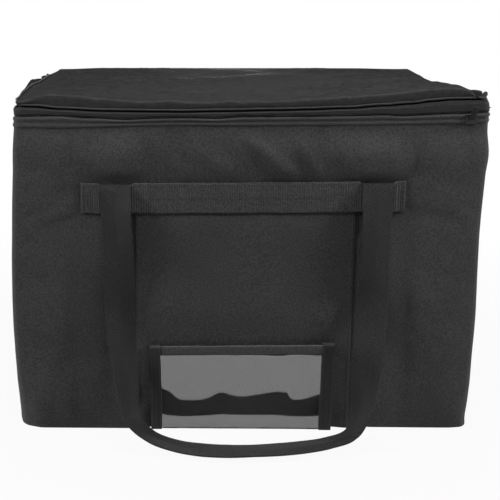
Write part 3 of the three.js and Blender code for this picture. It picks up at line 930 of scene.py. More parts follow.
def lid_top_z(x, y):
    inside = ease(min(HALF_W - abs(x), HALF_D - abs(y)), [(4, 0), (40, 1)])
    folds = sum(crease(x, y, *ridge) for ridge in LID_CREASES)
    coarse, fine = bumpy(x, y, 9, 70, 1.6), bumpy(x, y, 2, 22, 0.35)
    return LID_TOP + lid_lift(x, y) + inside * (folds + coarse) + fine * inside


# %% [markdown]
# ## Foam and lining
#
# The foam sheets give the walls their shape. They are cut slabs with softly crushed edges: a copy
# of each solid, merged, bevelled and given the foam finish. The lining is thin foil cloth. It is
# never flat, so its grid gets small even crinkles, and it rolls over the top of the foam.

# %% Foam slabs
FOAM_LOW, FOAM_HIGH = 406.1, 414.1


def follow_lid(slab):
    """Cuts the lid's slab into a grid and bends it to the waves of the lid round it."""
    shape = bmesh.new()
    shape.from_mesh(slab.data)
    for x in range(-270, 271, 10):
        cut_through(shape, (x * MM, 0, 0), (1, 0, 0))
    for y in range(-170, 171, 10):
        cut_through(shape, (0, y * MM, 0), (0, 1, 0))
    for vertex in shape.verts:
        x, y, z = vertex.co / MM
        share = (z - FOAM_LOW) / (FOAM_HIGH - FOAM_LOW)
        x, y = x * 0.984, y * 0.975
        bottom = FOAM_LOW + 1.2 + wave(LID_WAVE, x, y)
        top = max(lid_top_z(x, y) - 3.2, bottom + 1.5)
        vertex.co = Vector((x, y, bottom + (top - bottom) * share)) * MM
    shape.to_mesh(slab.data)
    shape.free()


FOAM_BODIES = {"front": "front_wall", "back": "back_wall"}
FOAM_BODIES.update({part: part for part in ("lid", "floor_rear", "floor_front", *HALVES)})
bpy.context.view_layer.update()
for part, body in FOAM_BODIES.items():
    slab = solid_copy(f"{part}_foam_slab", f"{part}_foam", 1.1, 2, 40)
    if part == "lid":
        follow_lid(slab)
    dress(slab, foam, body, f"{part}_foam", slot="foam")


# %% The lining of the walls
def crinkled(x, y, z, amount=0.45):
    return amount * (noise.noise(Vector((x, y, z)) / 26) + 0.6 * noise.noise(Vector((x, y, z)) / 9))


INNER = 10.2
LINER_LOW = 2.2
LINER_TOP = WALL_TOP + 0.9
LINER_ROLL = 1.6
liner_steps = steps(
    (LINER_LOW, 40, 4), (378, 34), (WALL_TOP + 0.5, 2), (WALL_TOP + 3, 1), (WALL_TOP + 9.5, 3),
)


def liner_turn(t):
    """How far out and how high the lining is at t: up the wall, then over the foam's top."""
    if t <= LINER_TOP - 2:
        return 0.0, t
    a = min((t - LINER_TOP + 2) / 3.0, math.pi / 2)
    over = max(t - LINER_TOP + 2 - 3.0 * math.pi / 2, 0)
    return LINER_ROLL * (1 - math.cos(a)) + over, LINER_TOP - 2 + LINER_ROLL * math.sin(a)


def lining_lift(x, y, z):
    """The top of the lining rises with the wave of the seam."""
    return wave(SEAM_WAVE, x, y) * ease(z, [(300, 0), (384, 1)])


for wall, backwards in WALLS:

    def wall_liner_point(s, t):
        over, z = liner_turn(t)
        (x, y), (nx, ny) = wall_path(s, INNER)
        lift = 0 if backwards else lining_lift(x, -HALF_D, z)
        out = over + crinkled(x, 50 if backwards else 0, z) * ease(over, [(0, 1), (1, 0)])
        return on_wall(x + nx * out, y + ny * out, z + lift, backwards)

    lining = sheet_grid(f"{wall}_wall_lining", wall_stations(INNER), liner_steps, wall_liner_point)
    thicken(lining, 0.7)
    dress(lining, foil, f"{wall}_wall", f"{wall}_liner", slot="liner")

for half, (side, end) in HALVES.items():

    def half_liner_point(d, t):
        over, z = liner_turn(t)
        y = end * d
        out = over + crinkled(side * 70, y, z) * ease(over, [(0, 1), (1, 0)])
        return (side * (HALF_W - INNER + out), y, z + lining_lift(side * HALF_W, y, z))

    across = ordered(side_steps, side * end > 0)
    lining = sheet_grid(f"{half}_lining", across, liner_steps, half_liner_point)
    thicken(lining, 0.7)
    dress(lining, foil, half, f"{half}_liner", slot="liner")

# %% The lining across the middle folds
for hand, side in (("left", -1), ("right", 1)):

    def fold_liner_point(y, z):
        ripple = 0.2 * noise.noise(Vector((y, 0, z)) / 14)
        return (side * (HALF_W - INNER - 1.1 + ripple), y, z)

    across = ordered(steps((-9, 9, 12)), side > 0)
    up = steps((LINER_LOW + 1, WALL_TOP - 1, 30))
    strip = sheet_grid(f"{hand}_fold_lining", across, up, fold_liner_point)
    thicken(strip, 0.5)
    dress(strip, foil, None, slot="liner")
    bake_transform(strip)

# %% [markdown]
# ## Floor
#
# The floor is two padded halves with slanted ends, so that they can tip up as the walls fold. The
# soft triangles beside them are loose cloth. It crumples against the back wall as the bag closes.

# %% The two halves of the floor
FLOOR_WIDE, FLOOR_NARROW, FLOOR_BACK, FLOOR_GAP = 267.3, 101.3, 166.5, 0.5
FLOOR_DEEP = FLOOR_BACK - FLOOR_GAP


def floor_half_width(y):
    """Half the floor's width, which narrows at 45 degrees towards the middle fold."""
    return FLOOR_WIDE - (FLOOR_BACK - abs(y)) * (FLOOR_WIDE - FLOOR_NARROW) / FLOOR_DEEP


for half, end in (("floor_rear", 1), ("floor_front", -1)):
    for layer, low, high, material, slot_name in (
        ("fabric", 0.0, 1.6, polyester, "outer_fabric"),
        ("liner", 8.2, 9.0, foil, "liner"),
    ):
        top = layer == "liner"

        def floor_point(u, d):
            y = end * d
            inside = min(1 - abs(u), (d - FLOOR_GAP) / FLOOR_DEEP, (FLOOR_BACK - d) / FLOOR_DEEP)
            edge = ease(inside, [(0, 0), (0.05, 1)])
            if top:
                z = high + (crinkled(u * 260, y, 3, 0.5) * edge - 0.4 * edge)
            else:
                z = low + abs(0.25 * noise.noise(Vector((u * 9, y / 30, 0)))) * edge * 0.8
            return (u * floor_half_width(y), y, z)

        us, ds = ordered(steps((-1, 1, 72)), end > 0), steps((FLOOR_GAP, FLOOR_BACK, 28))
        piece = sheet_grid(f"{half}_{layer}_cloth", us, ds, floor_point)
        flat_uv(piece)
        thicken(piece, high - low, flip=not top)
        dress(piece, material, half, f"{half}_{layer}", slot=slot_name)


# %% The soft triangles
GUSSET_WIDE, GUSSET_BACK, GUSSET_HIGH = 267.2, 164.0, 3.6

for hand, side in (("left", -1), ("right", 1)):

    def gusset_point(u, v):
        y = v * GUSSET_BACK
        inner = floor_half_width(y) + 1.6
        x = inner + (GUSSET_WIDE - inner) * u
        fold = 2.3 * abs(math.sin(u * 9.0 + abs(y) / 40)) * ease(abs(y), [(0, 1), (150, 0.2)])
        return (side * x, y, GUSSET_HIGH + fold + bumpy(x, y, 0, 30, 0.5))

    us, vs = ordered(steps((0, 1, 20)), side > 0), steps((-1, 1, 60))
    piece = sheet_grid(f"bottom_{hand}_gusset_cloth", us, vs, gusset_point)
    flat_uv(piece)
    thicken(piece, 1.0)
    dress(piece, polyester, "back_wall", f"bottom_gusset_{hand}", slot="outer_fabric")
    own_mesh(piece)

# %% [markdown]
# ## Hem and zipper
#
# A folded tape finishes the wall's top edge and carries one side of the zipper. It follows the
# waves of the rim. The zipper's flap and its coil go round the front and both sides with the lid.

# %% Hems
HEM_THICK, HEM_ROUND = 2.4, 1.2
SEAM_LOW, SEAM_Z = 385.9, 389.3
hem_outer = HEM_TOP - HEM_BOTTOM - HEM_ROUND
hem_fold = math.pi * HEM_ROUND
hem_steps = steps((-1.2, 0, 1), (hem_outer, 8), (hem_outer + hem_fold, 6), (2 * hem_outer + hem_fold, 2))


def hem_loop(t):
    """The folded tape seen end on: t runs up the outer face, over the fold and down inside."""
    if t <= hem_outer:
        return 0.0, HEM_BOTTOM + t
    if t <= hem_outer + hem_fold:
        a = (t - hem_outer) / HEM_ROUND
        return -HEM_ROUND * (1 - math.cos(a)), HEM_BOTTOM + hem_outer + HEM_ROUND * math.sin(a)
    return -HEM_THICK, HEM_BOTTOM + hem_outer - (t - hem_outer - hem_fold)


def hem_fullness(x, y, z):
    """The tape bellies a little between its two stitch lines and is wavy along its length."""
    belly = ease(z, [(HEM_BOTTOM - 1, 0.1), (387.2, 1.3), (SEAM_Z, 0.1), (391.8, 1.7), (HEM_TOP, 0.9)])
    return belly + bumpy(x, y, 0, 24, 0.5) + bumpy(x, y, z, 8, 0.25)


def wall_hem_point(s, t, back):
    over, z = hem_loop(t)
    (x, y), (nx, ny) = wall_path(s)
    out = over + 0.2 + (hem_fullness(x, y, z) if over > -0.1 else 0)
    moved = z if back else rim_z(z, x, y)
    return on_wall(x + nx * out + corner_out(x, z, back), y + ny * out, moved, back)


def half_hem_place(side, y, z, out, full=1.0):
    """A point of a side half's hem, with all or none of its fullness."""
    out += full * hem_fullness(side * 280, y, z) * ease(abs(y), [(0, 0), (12, 1)])
    return (side * (HALF_W + out + side_flare(side, y, z)), y, rim_z(z, side * HALF_W, y))


for wall, backwards in WALLS:
    along, place = wall_stations(pitch=5.0), partial(wall_hem_point, back=backwards)
    tape(f"{wall}_wall_hem", along, hem_steps, place, 0.9, hem_tape, f"{wall}_wall", f"{wall}_hem")

for half, (side, end) in HALVES.items():

    def half_hem_point(d, t):
        over, z = hem_loop(t)
        return half_hem_place(side, end * d, z, over + 0.2, 1.0 if over > -0.1 else 0.0)

    across = ordered(side_steps, side * end > 0)
    tape(f"{half}_hem_tape", across, hem_steps, half_hem_point, 0.9, hem_tape, half, f"{half}_hem")


# %% The path of the zipper, round the front and both sides
ZIP_END = BEND + (HALF_D - CORNER) + 175.0


def zip_path(s):
    """Point and outward normal along the zipper; s is 0 at the middle of the front."""
    return wall_path(s, last=math.inf)


def zip_stations(pitch):
    sides, front = round((ZIP_END - BEND) / pitch), round(2 * STRAIGHT / pitch)
    return steps((-ZIP_END, -BEND, sides), (-STRAIGHT, 5), (STRAIGHT, front), (BEND, 5), (ZIP_END, sides))


def rim_flare(x, y, z):
    """The rim follows the corners of the walls outwards, less and less towards the back."""
    return corner_out(x, z) * ease(y, [(-150, 1), (0, 0.1), (60, 0)])


# %% The zipper's flap
FLAP_TALL, FLAP_FOOT = 5.2, FLAP_LOW - 0.6


def flap_point(s, v):
    (x, y), (nx, ny) = zip_path(s)
    z = FLAP_FOOT + v
    share = (z - FLAP_LOW) / (FLAP_HIGH - FLAP_LOW)
    low, high = rim_z(FLAP_FOOT, x, y), LID_LOW - 2.8 + wave(LID_WAVE, x, y)
    belly = ease(share, [(-0.1, 0.9), (0.35, 1.2), (0.6, 0.2), (0.92, -1.6)])
    out = 0.5 + belly + bumpy(x, y, 3, 30, 0.6) + bumpy(x, y, z, 11, 0.4)
    ripple = 0.5 * noise.noise(Vector((x, y, 0)) / 16) if share < 0.5 else 0
    moved = low + (high - low) * v / FLAP_TALL + ripple
    return (x + nx * out + rim_flare(x, y, z), y + ny * out, moved)


along, up = zip_stations(5.0), steps((0, FLAP_TALL, 7))
# Painted shade: the flap gets the very dark tape, which stands for the shade under the lid's overhang as
# well as for its own black.
tape("zipper_flap_tape", along, up, flap_point, 1.6, dark_tape, "lid", "zipper_flap", soft=0.5)

# %% [markdown]
# A zipper of this kind has a moulded coil: one small loop after the other. One loop is modelled and
# copied along the path, sunk into a narrow tape.

# %% The zipper's coil
def copies_along(name, model, spots):
    """Joins copies of a small mesh, one for each (place, x axis, y axis, z axis), into one piece."""
    base = [v.co.copy() for v in model.data.vertices]
    faces = [tuple(p.vertices) for p in model.data.polygons]
    points, polygons = [], []
    for place, ax, ay, az in spots:
        turn = Matrix((ax, ay, az)).transposed()
        start = len(points)
        points += [(turn @ co + place) * MM for co in base]
        polygons += [tuple(start + i for i in face) for face in faces]
    mesh = bpy.data.meshes.new(name)
    mesh.from_pydata(points, [], polygons)
    mesh.update()
    joined = bpy.data.objects.new(name, mesh)
    bpy.context.collection.objects.link(joined)
    bpy.data.objects.remove(model)
    return joined


def small_loop(name, length, width, height):
    """A small pill shape, in millimetres: a cube with its long edges and ends bevelled."""
    bpy.ops.object.select_all(action="DESELECT")
    bpy.ops.mesh.primitive_cube_add(size=1)
    pill = bpy.context.object
    pill.name = name
    pill.scale = (length, width, height)
    bpy.ops.object.transform_apply(location=False, rotation=False, scale=True)
    apply_modifier(pill, "BEVEL", width=min(width, height) * 0.3, segments=1)
    return pill


TOOTH_PITCH, TOOTH_OUT, COIL_TAPE_IN = 2.1, 0.1, 1.5
spots = []
for k in range(int(2 * ZIP_END / TOOTH_PITCH) + 1):
    (x, y), (nx, ny) = zip_path(-ZIP_END + k * TOOTH_PITCH)
    aside = x + nx * TOOTH_OUT + rim_flare(x, y, COIL_LOW)
    middle = Vector((aside, y + ny * TOOTH_OUT, rim_z((COIL_LOW + COIL_HIGH) / 2, x, y)))
    spots.append((middle, Vector((-ny, nx, 0)), Vector((nx, ny, 0)), Vector((0, 0, 1))))
teeth = copies_along("zipper_coil_row", small_loop("coil loop", 1.25, 1.7, 2.2), spots)
dress(teeth, zip_nylon, "lid", "zipper_coil", slot="zipper", angle=40)
print("coil loops:", len(spots))


def coil_tape_point(s, v):
    """The narrow tape that the loops are sunk into."""
    (x, y), (nx, ny) = zip_path(s)
    flare = rim_flare(x, y, COIL_LOW)
    return (x + flare - nx * COIL_TAPE_IN, y - ny * COIL_TAPE_IN, rim_z(COIL_LOW + 0.2 + v, x, y))


along, up = zip_stations(6.0), steps((0, 2.0, 1))
tape("zipper_coil_tape", along, up, coil_tape_point, 0.6, hem_tape, "lid", slot="zipper", angle=50)

# %% [markdown]
# ## Lid
#
# The lid is a padded panel in a fabric cap. The cap is one cloth that goes over the top and down
# all four sides.

# %% The lid's cap
TOP_ROUND, CAP_DROP = 2.4, 8.5
TOP_ARC = TOP_ROUND * math.pi / 2
LID_EDGE_Z = 408
core_x, core_y = HALF_W - TOP_ROUND, HALF_D - TOP_ROUND


def cap_steps(core, count):
    """Places across the flat cloth, closer where it rounds the lid's edges and hangs down."""
    bend, end, near = core + TOP_ARC, core + (TOP_ARC + CAP_DROP), core - 24
    return steps((-end, -bend, 3), (-core, 4), (-near, 4), (near, count), (core, 4), (bend, 4), (end, 3))


def cap_point(fx, fy):
    """Where a point of the flat cloth comes to lie on the lid."""
    ex, ey = max(abs(fx) - core_x, 0), max(abs(fy) - core_y, 0)
    far = max(ex, ey)
    if far < 1e-9:
        return (fx, fy, lid_top_z(fx, fy))
    sx, sy = math.copysign(1, fx), math.copysign(1, fy)
    cx, cy = min(abs(fx), core_x), min(abs(fy), core_y)
    angle = (math.pi / 4) * (ey / ex) if ex >= ey else math.pi / 2 - (math.pi / 4) * (ex / ey)
    nx, ny = math.cos(angle), math.sin(angle)
    a = min(far / TOP_ROUND, math.pi / 2)
    out, fall = TOP_ROUND * math.sin(a), TOP_ROUND * (1 - math.cos(a))
    x, y = sx * (cx + nx * out), sy * (cy + ny * out)
    top = lid_top_z(sx * cx, sy * cy) - fall
    low = LID_LOW + wave(LID_WAVE, x, y) if y < 170 else LID_LOW
    share = max(far - TOP_ARC, 0) / CAP_DROP
    z = top + (low + 0.7 - top) * share
    skirt = ease(share, [(0, 0), (0.2, 0.1), (1, -1.7)])
    skirt += bumpy(x, y, z, 30, 0.5) * ease(share, [(0, 0), (0.4, 1)])
    flare = rim_flare(x, y, LID_EDGE_Z + 8 * (1 - share))
    return (x + sx * nx * skirt + flare, y + sy * ny * skirt, z)


def cap_sewn(x, y, z):
    return abs(x) > HALF_W - 22 or abs(y) > HALF_D - 14


cap = sheet_grid("lid_cap_fabric", cap_steps(core_x, 88), cap_steps(core_y, 52), cap_point)
swell(cap, cap_sewn, 2.5, 0.004, 2.0)
thicken(cap, 1.5)
dress(cap, lid_polyester, "lid", "lid_outer_fabric", slot="outer_fabric", angle=60)

# %% The lid's lining
LID_LINING_X, LID_LINING_Y, LID_LINING_Z = 267.5, 166.0, 405.1


def lid_liner_point(u, v):
    x, y = u * LID_LINING_X, v * LID_LINING_Y
    edge = ease(min(1 - abs(u), 1 - abs(v)), [(0, 0), (0.08, 1)])
    sag = (crinkled(x, y, 44, 0.5) - 0.6 * edge) * edge
    return (x, y, LID_LINING_Z + sag + wave(LID_WAVE, x, y) * 0.9)


lining = sheet_grid("lid_lining", steps((-1, 1, 84)), steps((-1, 1, 54)), lid_liner_point)
flat_uv(lining)
thicken(lining, 0.7, flip=True)
dress(lining, foil, "lid", "lid_liner", slot="liner")

# %% [markdown]
# A round cord in a strip of the lid's cloth finishes its edge. It follows the front and both sides.

# %% The lid's piping
PIPING, PIPING_RADIUS, PIPING_IN = 1.3, 1.15, 1.2


def piping_point(s, a):
    """The cover of the cord: a goes round it, in millimetres."""
    (x, y), (nx, ny) = zip_path(s)
    z = LID_LOW + wave(LID_WAVE, x, y) + 0.2 + bumpy(x, y, 5, 26, 0.3)
    middle = Vector((x - nx * PIPING_IN + rim_flare(x, y, LID_EDGE_Z), y - ny * PIPING_IN, z))
    turn = a / PIPING
    out = Vector((nx, ny, 0)) * PIPING_RADIUS * math.cos(turn)
    return middle + out + Vector((0, 0, PIPING_RADIUS * math.sin(turn)))


round_end = math.pi * PIPING / 2 + 0.8
along, around = [s * 0.988 for s in zip_stations(4.0)], steps((-round_end, round_end, 10))
tape("lid_edge_piping", along, around, piping_point, 0.9, hem_tape, "lid", "lid_piping", angle=80)

# %% A very dark strip in the groove between the lid and the zipper's flap: painted shade
GROOVE_LOW, GROOVE_IN = LID_LOW - 4.5, 4.2


def groove_point(s, v):
    (x, y), (nx, ny) = zip_path(s)
    z = GROOVE_LOW + v
    rise = wave(LID_WAVE, x, y) * ease(v, [(0, 0), (6, 0.25)])
    return (x - nx * GROOVE_IN + rim_flare(x, y, z), y - ny * GROOVE_IN, rim_z(z, x, y) + rise)


along, up = [s * 0.99 for s in zip_stations(6.0)], steps((0, 7.5, 4))
# Painted shade: the very dark tape fills the groove and stands for the shade in it.
tape("lid_groove_shade_strip", along, up, groove_point, 0.7, dark_tape, "lid")

# %% [markdown]
# On the left the edge tape has come loose from its fold and stands up in crumples. It is a thin
# strip with a sharp, uneven top edge. It leans out a little and buckles along its length.

# %% The tape that stands up at the left
STANDING = [
    (-177, 1.1), (-110, 6), (-50, 11), (-36, 11.5), (-20, 9), (24, 6.2), (50, 6.8), (62, 6.2),
    (79, 6.4), (98, 3.6), (134, 2.5), (165, 1.5),
]
LEAN = [(-177, 0.2), (-100, 3.6), (-36, 5.2), (31, 3.4), (79, 3), (165, 1)]
TAPE_WIDE = 16


def standing_point(y, v):
    top = 415.5 + ease(y, STANDING)
    low = 408.5 + wave(LID_WAVE, -HALF_W, y) * 0.7
    loose = ease(y, [(-60, 0), (-30, 1), (100, 1), (120, 0)])
    buckle = 1.6 * v * math.sin(y / 7.0 + 2 * v) + bumpy(0, y, v * 30, 12, 1.4) * v
    lean = -1.0 * (1 - v) + ease(y, LEAN) * v + loose * buckle
    return (-HALF_W - lean - 0.4, y, low + (top - low) * v)


along, up = steps((165, -177, 120)), steps((0, 1, 8))
# Painted shade: the standing tape's very dark tone stands for the shade its inner face is in.
standing = tape("lid_left_edge_tape", along, up, standing_point, 0.8, shade_painted_tape, "lid")
scale_uv(standing, 1, TAPE_WIDE)

CORD = 1.0


def side_cord_point(y, a):
    """The bare cord that the loose tape has left along the lid's left edge."""
    turn = a / CORD
    outward = CORD * Vector((-math.cos(turn), 0, math.sin(turn)))
    top = lid_top_z(-core_x, max(y, -core_y)) + 0.9 + bumpy(3, y, 0, 9, 0.5)
    return Vector((-HALF_W - 0.3 + bumpy(9, y, 0, 12, 0.6), y, top)) + outward


along, around = steps((80, -174, 90)), steps((-0.35 * CORD, 3.5 * CORD, 10))
# Painted highlight: the cord gets the pale tape, which stands for the line of light along the lid's left
# edge.
tape("lid_left_cord", along, around, side_cord_point, 0.7, highlight_tape, "lid", angle=80)

# %% The two tape ends at the right front corner
# Each is a small leaf: its base, its tip, half its width at the base, and how it tapers.
LEAVES = {
    "upper": (
        (272.6, -173.5, 417), (281.4, -173, 428), (2.2, 0, -1.7),
        [(0, 1), (8, 1), (9.4, 0.7), (10, 0.25)],
    ),
    "lower": (
        (275, -175.5, 408.6), (286.2, -173.5, 409.6), (0.3, 0, 4.6),
        [(0, 1), (3, 0.95), (10, 0.12)],
    ),
}
for name, (base, tip, wide, taper) in LEAVES.items():

    def leaf_point(u, v):
        bow = 0.9 * math.sin(math.pi * v / 10) + 0.3 * u * u
        middle = Vector(base).lerp(Vector(tip), v / 10)
        return middle + Vector(wide) * u * ease(v, taper) + Vector((0, -bow, 0))

    across, up = steps((-1, 1, 8)), steps((0, 10, 12))
    tape(f"corner_tape_end_{name}", across, up, leaf_point, 1.3, hem_tape, "lid", soft=0.4)

# %% The cloth of the lid's hinge
HINGE_LOW, HINGE_TALL = 396.5, 18.0


def hinge_point(x, v):
    belly = math.sin(math.pi * v / HINGE_TALL)
    return (x, HALF_D + 1.5 + 0.5 * belly + bumpy(x, 90, v, 20, 0.4) * belly, HINGE_LOW + v)


across, up = steps((270, -270, 90)), steps((0, HINGE_TALL, 12))
hinge_cloth = tape("lid_hinge_cloth", across, up, hinge_point, 1.0, hem_tape, None, "lid_hinge_strip")
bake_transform(hinge_cloth)

# %% [markdown]
# ## Trim of the front and back
#
# A webbing band is sewn across the wall, over a fabric patch and over the ends of the handle. Sewn
# cloth isn't stiff: the patch pouts at its bottom edge and its corners curl, and the band dips
# between the strap ends that it holds.

# %% The patch below the band
def patch_point(x, z):
    u = (x - PATCH_LEFT) / (PATCH_RIGHT - PATCH_LEFT)
    low = ease(z, [(2, 1), (60, 0)])
    left, right = ease(u, [(0, 1), (0.14, 0)]), ease(u, [(0.86, 0), (1, 1)])
    frame_side = ease(abs(u - 0.5), [(0.43, 0), (0.49, 1)])
    curl = max(8.5 * left, 3.5 * right) * ease(z, [(2, 1), (18, 0.75), (44, 0)])
    out = 0.35 + 0.9 * low * frame_side + curl
    plain = ease(z, [(108, 0), (150, 1), (262, 1), (280, 0)]) * ease(min(u, 1 - u), [(0, 0), (0.12, 1)])
    out += plain * max(1.3 + bumpy(x, 30, z, 60, 1.8), 0)
    edge = 0.9 * bumpy(0, 3, z, 34, 1.0) * ease(z, [(262, 1), (281, 0)])
    shift = edge if u < 0.5 else -edge
    shift *= max(ease(u, [(0, 1), (0.1, 0)]), ease(u, [(0.9, 0), (1, 1)]))
    return (x + shift, -HALF_D - out - 2.0, z + 0.4 * max(left, right) * low)


across = steps((PATCH_LEFT, PATCH_LEFT + 20, 8), (PATCH_RIGHT - 20, 40), (PATCH_RIGHT, 8))
up = steps((PATCH_LOW, 40, 14), (110, 16), (PATCH_HIGH, 44))
patch = sheet_grid("front_patch", across, up, patch_point)
thicken(patch, 1.5)
soften(patch, 0.5)
dress(patch, patch_polyester, "front_wall", "pocket_panel", slot="outer_fabric", angle=60)


# %% The bands
WEB = 38.0
WALL_SIDES = (("front", -1), ("back", 1))


def band_tilt(x, side):
    """The front band was sewn on a little askew: it climbs to the right."""
    return 0.0105 * (x + 20) if side < 0 else 0.0


def band_point(x, z, side):
    """The middle of the band's thickness, which stands off where a strap end or the patch lies."""
    near = min(abs(x - middle) for middle in STRAP_MIDDLES)
    over_strap = 1.7 + 2.1 * ease(near, [(19, 1), (27, 0)])
    over_patch = 3.55 if PATCH_LEFT - 2 < x < PATCH_RIGHT + 2 else 0
    pull = 0.35 * math.sin((z - BAND_LOW) / WEB * math.pi)
    out = max(over_strap, over_patch) + pull + bumpy(x, side * 20, z, 18, 0.35)
    sag = 0.6 * math.sin((x - BAND_LEFT) / (BAND_RIGHT - BAND_LEFT) * math.pi)
    dip = 4.0 * ease(near, [(17, 1), (22, 0)]) * ease(z, [(BAND_LOW + 12, 0), (BAND_HIGH, 1)])
    moved = z + band_tilt(x, side) - sag - dip + bumpy(x, 0, 4, 40, 0.5)
    return (x, side * (HALF_D + out + 1.0), moved)


for wall, side in WALL_SIDES:
    along = ordered(steps((BAND_LEFT, BAND_RIGHT, 132)), side < 0)
    up, place = steps((BAND_LOW, BAND_HIGH, 12)), partial(band_point, side=side)
    names = (f"{wall}_wall", f"{wall}_band")
    finish = {"soft": 0.6, "slot": "webbing", "angle": 60}
    tape(f"{wall}_webbing_band", along, up, place, 1.9, band_webbing, *names, **finish)

# %% [markdown]
# ## Handles
#
# Each handle is one length of webbing. Its ends are sewn behind the band, it folds over the band's
# top edge, hangs in front, twists through a quarter turn and lies flat on the ground in a loop. The
# route has the same stations as the solid strap. The short fold at the top bends between wall and
# handle.

# %% The route of a handle
# Stations down the left part, along the loop and up the right part: the middle of the strap as
# (x, distance from the wall, z), then the direction of its outer edge in the same three numbers.
STATIONS = [
    (-161.5, 7.9, 310.0, -1.00, -0.02, -0.02), (-160.5, 13.2, 284.1, -0.96, -0.26, -0.03),
    (-159.1, 14.6, 250.9, -0.97, -0.22, -0.03), (-158.1, 14.2, 218.5, -0.99, 0.10, -0.03),
    (-157.3, 12.4, 186.2, -0.98, 0.18, -0.03), (-156.4, 11.6, 154.0, -0.95, 0.30, -0.02),
    (-154.2, 17.8, 121.8, -0.87, 0.49, 0.03), (-149.8, 26.9, 91.1, -0.74, 0.66, 0.09),
    (-145.8, 35.2, 59.8, -0.62, 0.77, 0.11), (-140.3, 42.9, 31.5, -0.34, 0.92, 0.18),
    (-117.4, 53.3, 14.0, -0.22, 0.95, 0.22), (-87.3, 61.4, 6.8, -0.18, 0.96, 0.20),
    (-56.6, 66.8, 4.9, -0.12, 0.98, 0.16), (-25.9, 69.4, 4.9, -0.04, 0.99, 0.17),
    (4.3, 69.0, 5.4, 0.04, 0.98, 0.20), (34.7, 66.6, 5.9, 0.09, 0.98, 0.18),
    (65.2, 62.8, 7.0, 0.12, 0.97, 0.19), (95.7, 58.1, 10.0, 0.13, 0.96, 0.23),
    (124.2, 52.2, 18.5, 0.14, 0.96, 0.25), (136.0, 44.4, 44.0, 0.46, 0.88, 0.11),
    (141.0, 37.4, 77.7, 0.78, 0.62, 0.01), (145.6, 31.1, 111.7, 0.95, 0.30, -0.04),
    (150.1, 18.8, 146.2, 0.97, 0.22, -0.04), (152.6, 12.9, 177.2, 0.99, 0.08, -0.03),
    (153.0, 14.3, 208.1, 0.98, -0.18, -0.01), (153.5, 14.6, 239.6, 0.96, -0.27, -0.02),
    (153.8, 14.0, 271.3, 0.96, -0.27, -0.02), (154.2, 10.4, 300.9, 0.99, -0.10, -0.01),
    (154.4, 7.9, 312.0, 1.00, -0.02, -0.01),
]


def station(row, side):
    """A station's middle and the direction of its outer edge, on the front or the back."""
    x, out, z, wide_x, wide_out, wide_z = row
    return Vector((x, side * (HALF_D + out), z)), Vector((wide_x, side * wide_out, wide_z))


def centripetal(p0, p1, p2, p3, t):
    """A point of the centripetal spline between p1 and p2."""
    d1, d2, d3 = (max((b - a).length, 1e-6) ** 0.5 for a, b in ((p0, p1), (p1, p2), (p2, p3)))
    m1 = (p1 - p0) / d1 - (p2 - p0) / (d1 + d2) + (p2 - p1) / d2
    m2 = (p2 - p1) / d2 - (p3 - p1) / (d2 + d3) + (p3 - p2) / d3
    m1, m2 = m1 * d2, m2 * d2
    t2, t3 = t * t, t * t * t
    return p1 * (2 * t3 - 3 * t2 + 1) + m1 * (t3 - 2 * t2 + t) + p2 * (3 * t2 - 2 * t3) + m2 * (t3 - t2)


def handle_route(side, per=8):
    """(point, outer edge direction) down the left part, along the loop and up the right part."""
    points, wides = zip(*(station(row, side) for row in STATIONS))
    points = [points[0] * 2 - points[1], *points, points[-1] * 2 - points[-2]]
    route = []
    for k in range(len(STATIONS) - 1):
        for i in range(per):
            t = i / per
            route.append((centripetal(*points[k:k + 4], t), wides[k].lerp(wides[k + 1], t)))
    route.append((points[-2], wides[-1]))
    return route


SEWN_OUT, FOLD_OUT, FOLD_ROUND = 1.4, 3.9, 2.5
FOLD_Z, FOLD_RISE = 313.0, 2.8


def fold_over(side, x, wide):
    """The sewn end behind the band and the fold over its top edge, from the bottom up."""
    rows = []
    raised = band_tilt(x, side)
    for z in (284.2, 290, 296, 301, 306, 310, 312.6):
        rows.append((Vector((x, side * (HALF_D + SEWN_OUT), z + raised)), wide))
    for k in range(1, 10):
        a = math.pi * k / 10
        out = HALF_D + FOLD_OUT - FOLD_ROUND * math.cos(a)
        rows.append((Vector((x, side * out, FOLD_Z + raised + FOLD_RISE * math.sin(a))), wide))
    return rows


def handle_rows(side):
    """Every cross-section of a handle: its middle, and the direction of its width."""
    rows = fold_over(side, STRAP_MIDDLES[0], Vector((-1, 0, 0)))
    route = handle_route(side)
    for k, (point, wide) in enumerate(route):
        before, after = route[max(k - 1, 0)][0], route[min(k + 1, len(route) - 1)][0]
        along = (after - before).normalized()
        rows.append((point, (wide - along * wide.dot(along)).normalized()))
    return rows + fold_over(side, STRAP_MIDDLES[1], Vector((1, 0, 0)))[::-1]


STRAP_WIDTHS = [-18.8, -18.2, -12, -6, 0, 6, 12, 18.2, 18.8]

for wall, side in WALL_SIDES:
    rows = handle_rows(side)
    lengths = [0.0]
    for (a, _), (b, _) in zip(rows, rows[1:]):
        lengths.append(lengths[-1] + (b - a).length)
    place_of = dict(zip(lengths, rows))

    def strap_point(v, length):
        point, wide = place_of[length]
        return point + wide * v

    strap = sheet_grid(f"{wall}_carry_strap", STRAP_WIDTHS, lengths, strap_point)
    apply_modifier(strap, "SOLIDIFY", thickness=2.0 * MM, offset=0.0)
    soften(strap, 0.7)
    edit_all(strap, bpy.ops.mesh.normals_make_consistent, inside=False)
    hidden = [f"{wall}_handle", f"{wall}_strap_end_left", f"{wall}_strap_end_right"]
    dress(strap, strap_webbing, None, *hidden, slot="webbing", angle=60)
    start, end = (0, side * 0.1806, 0.319), (0, side * 0.1828, 0.319)
    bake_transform(strap)
    print(strap.name, "is", round(lengths[-1]), "mm long")

